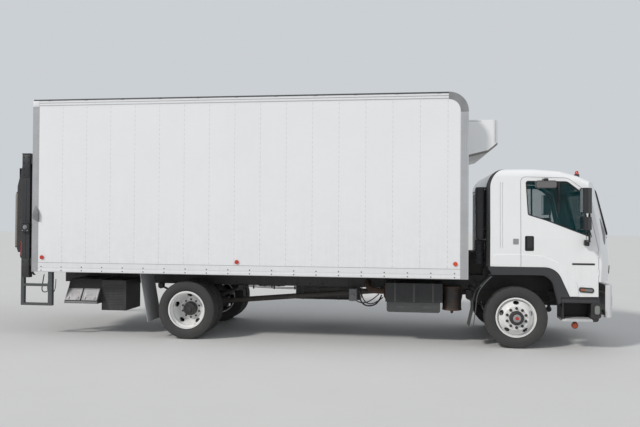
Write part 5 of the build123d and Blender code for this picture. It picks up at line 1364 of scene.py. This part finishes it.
bm = bmesh.new()
for low, high in ((-3.785, -3.520), (-3.500, -3.230)):
    flat_work(bm, panel(low + 0.003, high - 0.003, 0.004, 0.216, 0.010), -0.001, 0.0015, on_lid)
    flat_work(bm, panel(low + 0.010, high - 0.010, 0.010, 0.210, 0.014), 0.0, 0.004, on_lid, rim=0.010)
    for x in (low + 0.055, high - 0.055):
        flat_work(bm, panel(x - 0.014, x + 0.014, 0.018, 0.066, 0.004), 0.0, 0.011, on_lid)
    for v in (0.090, 0.114, 0.138, 0.162):
        flat_work(bm, panel(low + 0.045, high - 0.045, v, v + 0.010, 0.004), 0.0, 0.0045, on_lid)
slab(bm, (-3.788, -3.222), (-1.1535, -1.149), (0.524, 0.556), 0.0015)
rivets(bm, [(x, -1.1535, 0.540) for x in row(-3.76, -3.25, 0.085)], (0, -1, 0), r=0.007, height=0.003)
piece("power_pack_fittings", bm, "chassis", "lid_metal")
bm = bmesh.new()
for z in row(0.50, 0.80, 0.042):
    slab(bm, (-3.165, -2.855), (-1.0045, -0.999), around(z, 0.008), 0.0025)
for x in (-3.195, -2.825):
    for z in (0.425, 0.865):
        peg(bm, "Y", x, z, -0.999, -1.007, 0.011, sides=6)
piece("power_pack_louvres", bm, "chassis", "lift_paint")

# Fuel tank: straps, filler cap and step strip
bm = bmesh.new()
for x in (-0.12, 0.16, 0.53, 0.80):
    strap = [(0.466, 0.466, 0.062), (1.1535, 0.466, 0.133), (1.1535, 0.9335, 0.133),
             (0.466, 0.9335, 0.062)]
    flat_work(bm, strap, -0.020, 0.020, facing("X", x), rim=0.010)
    peg(bm, "X", 1.156, 0.70, x - 0.026, x + 0.026, 0.008, sides=10)
piece("tank_straps", bm, "chassis", "step_steel")
bm = bmesh.new()
peg(bm, "Z", 0.66, 0.95, 0.922, 0.946, 0.052, 0.048, sides=28)
peg(bm, "Z", 0.66, 0.95, 0.945, 0.966, 0.046, 0.043, sides=20)
slab(bm, (0.625, 0.695), (0.942, 0.958), (0.962, 0.976), 0.004)
for x in row(-0.10, 0.80, 0.10):
    slab(bm, around(x, 0.038), (1.148, 1.1545), (0.555, 0.563), 0.002)
piece("tank_cap", bm, "chassis", "trim_plastic")

# Exhaust unit: pressed lower cover, bands, rusty flange, outlet and drain
def on_cover(x, level, z):
    """Lays flat work on the outer face of the lower cover."""
    return (ax(x), -0.940 - level, z)


bm = bmesh.new()
flat_work(bm, [(-1.918, 0.492, 0.02), (-1.122, 0.492, 0.02), (-1.122, 0.632, 0.01),
               (-1.918, 0.632, 0.01)], 0.0, 0.003, on_cover, rim=0.012)
for low, high in ((-1.880, -1.560), (-1.460, -1.150)):
    flat_work(bm, panel(low, high, 0.518, 0.606, 0.042), -0.001, 0.007, on_cover, rim=0.011)
    middle = (low + high) / 2
    flat_work(bm, panel(middle - 0.055, middle + 0.055, 0.542, 0.582, 0.012), -0.001, 0.002, on_cover)
for x, z in ((-1.510, 0.562), (-1.900, 0.510), (-1.900, 0.612), (-1.135, 0.510), (-1.135, 0.612)):
    peg(bm, "Y", ax(x), z, -0.940, -0.950, 0.012, sides=6)
piece("exhaust_cover", bm, "chassis", "exhaust_cover")
bm = bmesh.new()
for x in (-1.80, -1.51, -1.22):
    slab(bm, around(ax(x), 0.014), (-0.9535, -0.949), (0.642, 0.928), 0.0015)
    slab(bm, around(ax(x), 0.014), (-0.952, -0.480), (0.929, 0.9335), 0.0015)
    peg(bm, "Y", ax(x), 0.700, -0.953, -0.962, 0.010, sides=6)
piece("exhaust_bands", bm, "chassis", "edge_dark")
bm = bmesh.new()
for r, start in ((0.122, 1.398), (0.100, 1.380)):
    spun_part(bm, [(start + 0.012, 0.0), (start + 0.012, r), (start, r), (start, 0.0)], -0.760, 0.785, 32)
for y, z in ring_of(8, 0.108, -0.760, 0.785):
    peg(bm, "X", y, z, 1.392, 1.424, 0.009, sides=6)
pipe(bm, [(1.385, -0.760, 0.785), (1.30, -0.760, 0.785), (1.20, -0.745, 0.790), (1.13, -0.66, 0.83),
          (1.12, -0.56, 0.88), (1.12, -0.48, 0.90)], 0.048)
peg(bm, "Z", 2.438, -0.760, 0.520, 0.462, 0.024, 0.020, sides=14)
for z in (0.530, 0.870):
    spun_upright(bm, [(z - 0.010, 0.143), (z - 0.010, 0.149), (z + 0.010, 0.149), (z + 0.010, 0.143)],
                 2.438, -0.760, 40)
piece("exhaust_pipework", bm, "chassis", "rusty_steel")

# Underbody: frame bolts, brake hoses and lines, valve bracket, air tank
bm = bmesh.new()
for side in SIDES:
    for z in (0.840, 1.000):
        places = [(x, side * 0.4305, z) for x in row(-4.05, 2.25, 0.21)]
        rivets(bm, places, (0, side, 0), r=0.013, height=0.009)
piece("frame_bolts", bm, "chassis", "nut_metal")
bm = bmesh.new()
pipe(bm, [(1.34, -0.62, 0.70), (1.30, -0.72, 0.60), (1.20, -0.78, 0.545), (1.08, -0.76, 0.545),
          (1.00, -0.70, 0.62), (0.97, -0.60, 0.72)], 0.012)
pipe(bm, [(1.36, -0.58, 0.66), (1.25, -0.70, 0.58), (1.12, -0.74, 0.565), (1.03, -0.70, 0.66),
          (0.99, -0.55, 0.80)], 0.009)
pipe(bm, [(1.30, -0.66, 0.72), (1.17, -0.75, 0.61), (1.02, -0.72, 0.575), (0.90, -0.66, 0.63),
          (0.80, -0.58, 0.76)], 0.009)
for side in SIDES:
    for z in (0.775, 0.755):
        y = side * 0.455
        pipe(bm, [(2.20, y, z + 0.05), (1.20, y, z), (0.40, y, z), (-0.60, y, z), (-1.00, y, z + 0.03)],
             0.006)
    for x in row(-0.8, 2.0, 0.35):
        slab(bm, around(x, 0.012), (side * 0.446, side * 0.464), (0.744, 0.802), 0.003)
piece("brake_hoses", bm, "chassis", "hose_rubber")
bm = bmesh.new()
slab(bm, (0.825, 0.945), (-0.700, -0.431), (0.792, 0.799), 0.002)
slab(bm, (0.825, 0.945), (-0.706, -0.699), (0.605, 0.799), 0.002)
for x, z in ((0.852, 0.742), (0.918, 0.742), (0.885, 0.640)):
    peg(bm, "Y", x, z, -0.705, -0.716, 0.010, sides=6)
peg(bm, "Y", 0.885, 0.692, -0.705, -0.745, 0.028, 0.024, sides=20)
piece("valve_bracket", bm, "chassis", "bracket_metal")
bm = bmesh.new()
TANK_Y, TANK_Z = 0.600, 0.800
spun(bm, [(-1.010, 0.0), (-1.007, 0.040), (-0.995, 0.078), (-0.972, 0.104), (-0.940, 0.116),
          (-0.900, 0.118), (-0.520, 0.118), (-0.480, 0.116), (-0.448, 0.104), (-0.425, 0.078),
          (-0.413, 0.040), (-0.410, 0.0)], TANK_Y, TANK_Z, 36, axis="X")
for x in (-0.84, -0.58):
    spun_part(bm, [(x - 0.018, 0.117), (x - 0.018, 0.1225), (x + 0.018, 0.1225), (x + 0.018, 0.117)],
              TANK_Y, TANK_Z, 36)
    slab(bm, around(x, 0.025), (0.431, 0.560), (0.870, 0.900), 0.004)
    slab(bm, around(x, 0.025), (0.431, 0.440), (0.780, 0.960), 0.003)
peg(bm, "Z", -0.71, TANK_Y, 0.690, 0.655, 0.014, sides=10)
piece("air_tank", bm, "chassis", "lift_paint")

# Dashboard: hood over the dials, dials, vents and knobs
FASCIA_SLOPE = 0.707


def on_fascia(y, level, v):
    """Lays flat work on the sloping fascia, v up from its lower edge."""
    return (ax(0.800 + FASCIA_SLOPE * v - FASCIA_SLOPE * level), y,
            1.560 + FASCIA_SLOPE * v + FASCIA_SLOPE * level)


bm = bmesh.new()
slab(bm, (ax(0.905), ax(1.080)), (0.400, 0.780), (1.680, 1.745), 0.022, segments=4)
for low, high in ((-0.92, -0.76), (-0.50, -0.34), (-0.24, -0.08), (0.84, 0.97)):
    flat_work(bm, panel(low, high, 0.060, 0.128, 0.012), -0.002, 0.006, on_fascia, rim=0.008)
    for v in (0.074, 0.090, 0.106):
        flat_work(bm, panel(low + 0.010, high - 0.010, v, v + 0.006, 0.002), -0.001, 0.003, on_fascia)
for y in (0.02, 0.08, 0.14):
    bar(bm, on_fascia(y, -0.002, 0.092), on_fascia(y, 0.014, 0.092), 0.018, 0.016, sides=18)
piece("dash_fittings", bm, "cab", "trim_plastic")
bm = bmesh.new()
for y, r in ((0.500, 0.026), (0.660, 0.026), (0.580, 0.020)):
    peg(bm, "X", y, 1.712, ax(0.907), ax(0.9015), r, sides=28)
piece("dash_dials", bm, "cab", "grey_plastic")


# Seats: padded cushions, backs and head rests
def pad_form(size, place, edge, shape):
    """Rounded block cut fine enough to bend, then shaped."""
    bm = bmesh.new()
    bmesh.ops.create_cube(bm, size=1, matrix=Matrix.Diagonal((*size, 1)))
    rounded(bm, bm.edges, edge, 4, clamp=False)
    for axis in range(3):
        for level in row(-size[axis] / 2 + 0.03, size[axis] / 2 - 0.03, 0.05):
            cut_across(bm, axis, level)
    for v in bm.verts:
        v.co = shape(v.co)
    bmesh.ops.transform(bm, matrix=place, verts=bm.verts[:])
    return bm


PAD_VOXEL = 0.007
PAD_PRESSURE = 4
PAD_FRAMES = 20


def swell(name, bm, cap):
    """Even mesh of the form, swollen as air filled cloth, no point further out than the cap."""
    pad = new_object(name, mesh_of(name, bm))
    even = pad.modifiers.new("even", "REMESH")
    even.mode = "VOXEL"
    even.voxel_size = PAD_VOXEL
    depsgraph = bpy.context.evaluated_depsgraph_get()
    fine = bpy.data.meshes.new_from_object(pad.evaluated_get(depsgraph))
    pad.modifiers.clear()
    pad.data = fine
    start = [v.co.copy() for v in fine.vertices]
    air = pad.modifiers.new("air", "CLOTH")
    air.settings.use_pressure = True
    air.settings.uniform_pressure_force = PAD_PRESSURE
    air.settings.effector_weights.gravity = 0
    air.settings.quality = 4
    for frame_number in range(1, PAD_FRAMES + 1):
        scene.frame_set(frame_number)
    depsgraph = bpy.context.evaluated_depsgraph_get()
    full = bpy.data.meshes.new_from_object(pad.evaluated_get(depsgraph))
    for v, was in zip(full.vertices, start):
        move = v.co - was
        if move.length > cap:
            v.co = was + move * (cap / move.length)
    pad.modifiers.clear()
    scene.frame_set(1)
    fine = full
    bpy.data.objects.remove(pad)
    return fine


def sewn(mesh, lines):
    """Presses the sewn channels into the outer side of a pad."""
    bm = bmesh.new()
    bm.from_mesh(mesh)
    bm.normal_update()
    for v in bm.verts:
        deep = max(line(v.co, v.normal) for line in lines)
        if deep > 0.02:
            v.co -= v.normal * (0.008 * deep)
    return bm


def channel(axis, level, middle, outward):
    """Depth of a channel at a level along an axis, on the side that faces one way."""
    def depth(place, normal):
        away = abs(abs(place[axis] - middle[axis]) - level) / 0.007
        return math.exp(-away * away) * max(0.0, normal.dot(outward))
    return depth


LEAN = math.atan(0.145 / 0.595)
SEAT_MIDDLE = 0.590


def cushion_shape(co):
    """Raised side rolls and a front edge that drops."""
    side_roll = 0.020 * max(0.0, (abs(co.y) - 0.13) / 0.09) ** 2
    front_drop = -0.012 * max(0.0, (co.x - 0.14) / 0.08) ** 2
    return Vector((co.x, co.y * (1 - 0.02 * (co.x > 0)), co.z + (side_roll + front_drop) * (co.z > 0)))


def back_shape(co):
    """Narrower towards the top, with side rolls."""
    narrow = 1 - 0.10 * max(0.0, co.z / 0.2)
    side_roll = 0.018 * max(0.0, (abs(co.y) - 0.13) / 0.08) ** 2
    return Vector((co.x + side_roll * (co.x > 0), co.y * narrow, co.z))


def rest_shape(co):
    """Bowed front, narrower towards the top."""
    return Vector((co.x + 0.008 * math.cos(co.z * 14), co.y * (1 - 0.6 * max(0.0, co.z - 0.02)), co.z))


lean = Matrix.Rotation(-LEAN, 4, "Y")
upright = Vector((math.cos(LEAN), 0, math.sin(LEAN)))
PADS = {
    # name: size, middle, edge, turn, shape, cap, channels
    "cushion": ((0.440, 0.440, 0.085), (ax(0.205), 0, 1.592), 0.028, Matrix(), cushion_shape, 0.022,
                [(1, 0.135, (0, 0, 1)), (0, 0.105, (0, 0, 1))]),
    "back": ((0.070, 0.430, 0.380), (ax(-0.056), 0, 1.868), 0.026, lean, back_shape, 0.022,
             [(1, 0.130, upright), (2, 0.080, upright)]),
    "head_rest": ((0.060, 0.250, 0.110), (ax(-0.132), 0, 2.160), 0.022, lean, rest_shape, 0.014,
                  [(2, 0.030, upright)]),
}
for pad_name, (size, middle, edge, turn, shape, cap, lines) in PADS.items():
    form = pad_form(size, Matrix.Translation(middle) @ turn, edge, shape)
    fine = swell(pad_name, form, cap)
    channels = [channel(axis, level, middle, Vector(way)) for axis, level, way in lines]
    for side, name in SIDE_NAMES:
        bm = sewn(fine, channels)
        bmesh.ops.translate(bm, vec=(0, side * SEAT_MIDDLE, 0), verts=bm.verts[:])
        obj = piece(f"seat_{pad_name}_{name}", bm, "cab", "seat_cloth", ("seats",),
                    sharp=180)
        soft = obj.modifiers.new("soft", "SUBSURF")
        soft.levels = 1
        soft.render_levels = 1

bm = bmesh.new()
for side in SIDES:
    y = side * SEAT_MIDDLE
    for shift in (-0.055, 0.055):
        bar(bm, (ax(-0.108), y + shift, 2.045), (ax(-0.124), y + shift, 2.115), 0.006, sides=10)
    slab(bm, (ax(-0.035), ax(0.395)), around(y, 0.205), (1.531, 1.548), 0.005)
    for hand in SIDES:
        slab(bm, (ax(-0.075), ax(0.060)), (y + hand * 0.216, y + hand * 0.232), (1.560, 1.690), 0.006)
    peg(bm, "Y", ax(-0.005), 1.625, y - 0.245, y + 0.245, 0.014, sides=16)
piece("seat_fittings", bm, "cab", "trim_plastic", ("seats",))

# Camera where the photograph was taken
YAW, PITCH, ROLL = math.radians(7.62), math.radians(0.58), math.radians(0.38)
forward = Vector((-math.sin(YAW) * math.cos(PITCH), math.cos(YAW) * math.cos(PITCH), math.sin(PITCH)))
right = forward.cross(Vector((0, 0, 1))).normalized()
up = right.cross(forward)
right = right * math.cos(ROLL) + up * math.sin(ROLL)
up = right.cross(forward)
optics = bpy.data.cameras.new("camera")
optics.lens = 36.11
optics.sensor_width = 36.0
optics.clip_end = 400
camera = new_object("camera", optics)
turned = Matrix((right, up, -forward)).transposed().to_4x4()
CAMERA_PLACE = (1.72, -10.98, 1.90)
camera.matrix_world = Matrix.Translation(CAMERA_PLACE) @ turned
scene.camera = camera


# Floor, sky and lamps
def plain_floor():
    """Wide pale floor under the truck."""
    material, tree, shader = new_material("floor_finish")
    toned = tone_of(tree, (0.62, 0.62, 0.615, 1), 0.03, 0.8)
    join(tree, shader, {"Base Color": toned["Colour"], "Roughness": 0.85})
    bm = bmesh.new()
    bmesh.ops.create_circle(bm, cap_ends=True, segments=96, radius=90)
    mesh = mesh_of("floor", bm)
    mesh.materials.append(material)
    floor = new_object("floor", mesh)
    floor.location.z = -0.0005


plain_floor()
sky = bpy.data.worlds.new("sky")
scene.world = sky
sky.use_nodes = True
tree = sky.node_tree
plain = tree.nodes["Background"]
join(tree, plain.inputs, {"Color": (0.93, 0.96, 1.0, 1), "Strength": 0.52})
shown = add(tree, "Background", {"Color": (0.60, 0.63, 0.66, 1), "Strength": 1.0})
path = add(tree, "LightPath").outputs
bounced = Value(path["Is Glossy Ray"]).math("MAXIMUM", path["Is Transmission Ray"])
seen = Value(path["Is Camera Ray"]).math("MAXIMUM", bounced)
blend = add(tree, "MixShader", {0: seen, 1: plain.outputs[0], 2: shown.outputs[0]})
tree.links.new(blend.outputs[0], tree.nodes["World Output"].inputs["Surface"])

for name, way, strength, spread, colour in (
        ("key_lamp", (0.55, 0.55, -0.62), 1.92, 0.14, (1.0, 0.97, 0.93)),
        ("fill_lamp", (-0.7, 0.2, -0.6), 0.35, 0.6, (0.95, 0.97, 1.0))):
    lamp = bpy.data.lights.new(name, "SUN")
    lamp.energy = strength
    lamp.angle = spread
    lamp.color = colour
    holder = new_object(name, lamp)
    holder.rotation_euler = Vector(way).to_track_quat("-Z", "Y").to_euler()

scene.view_settings.view_transform = "Standard"
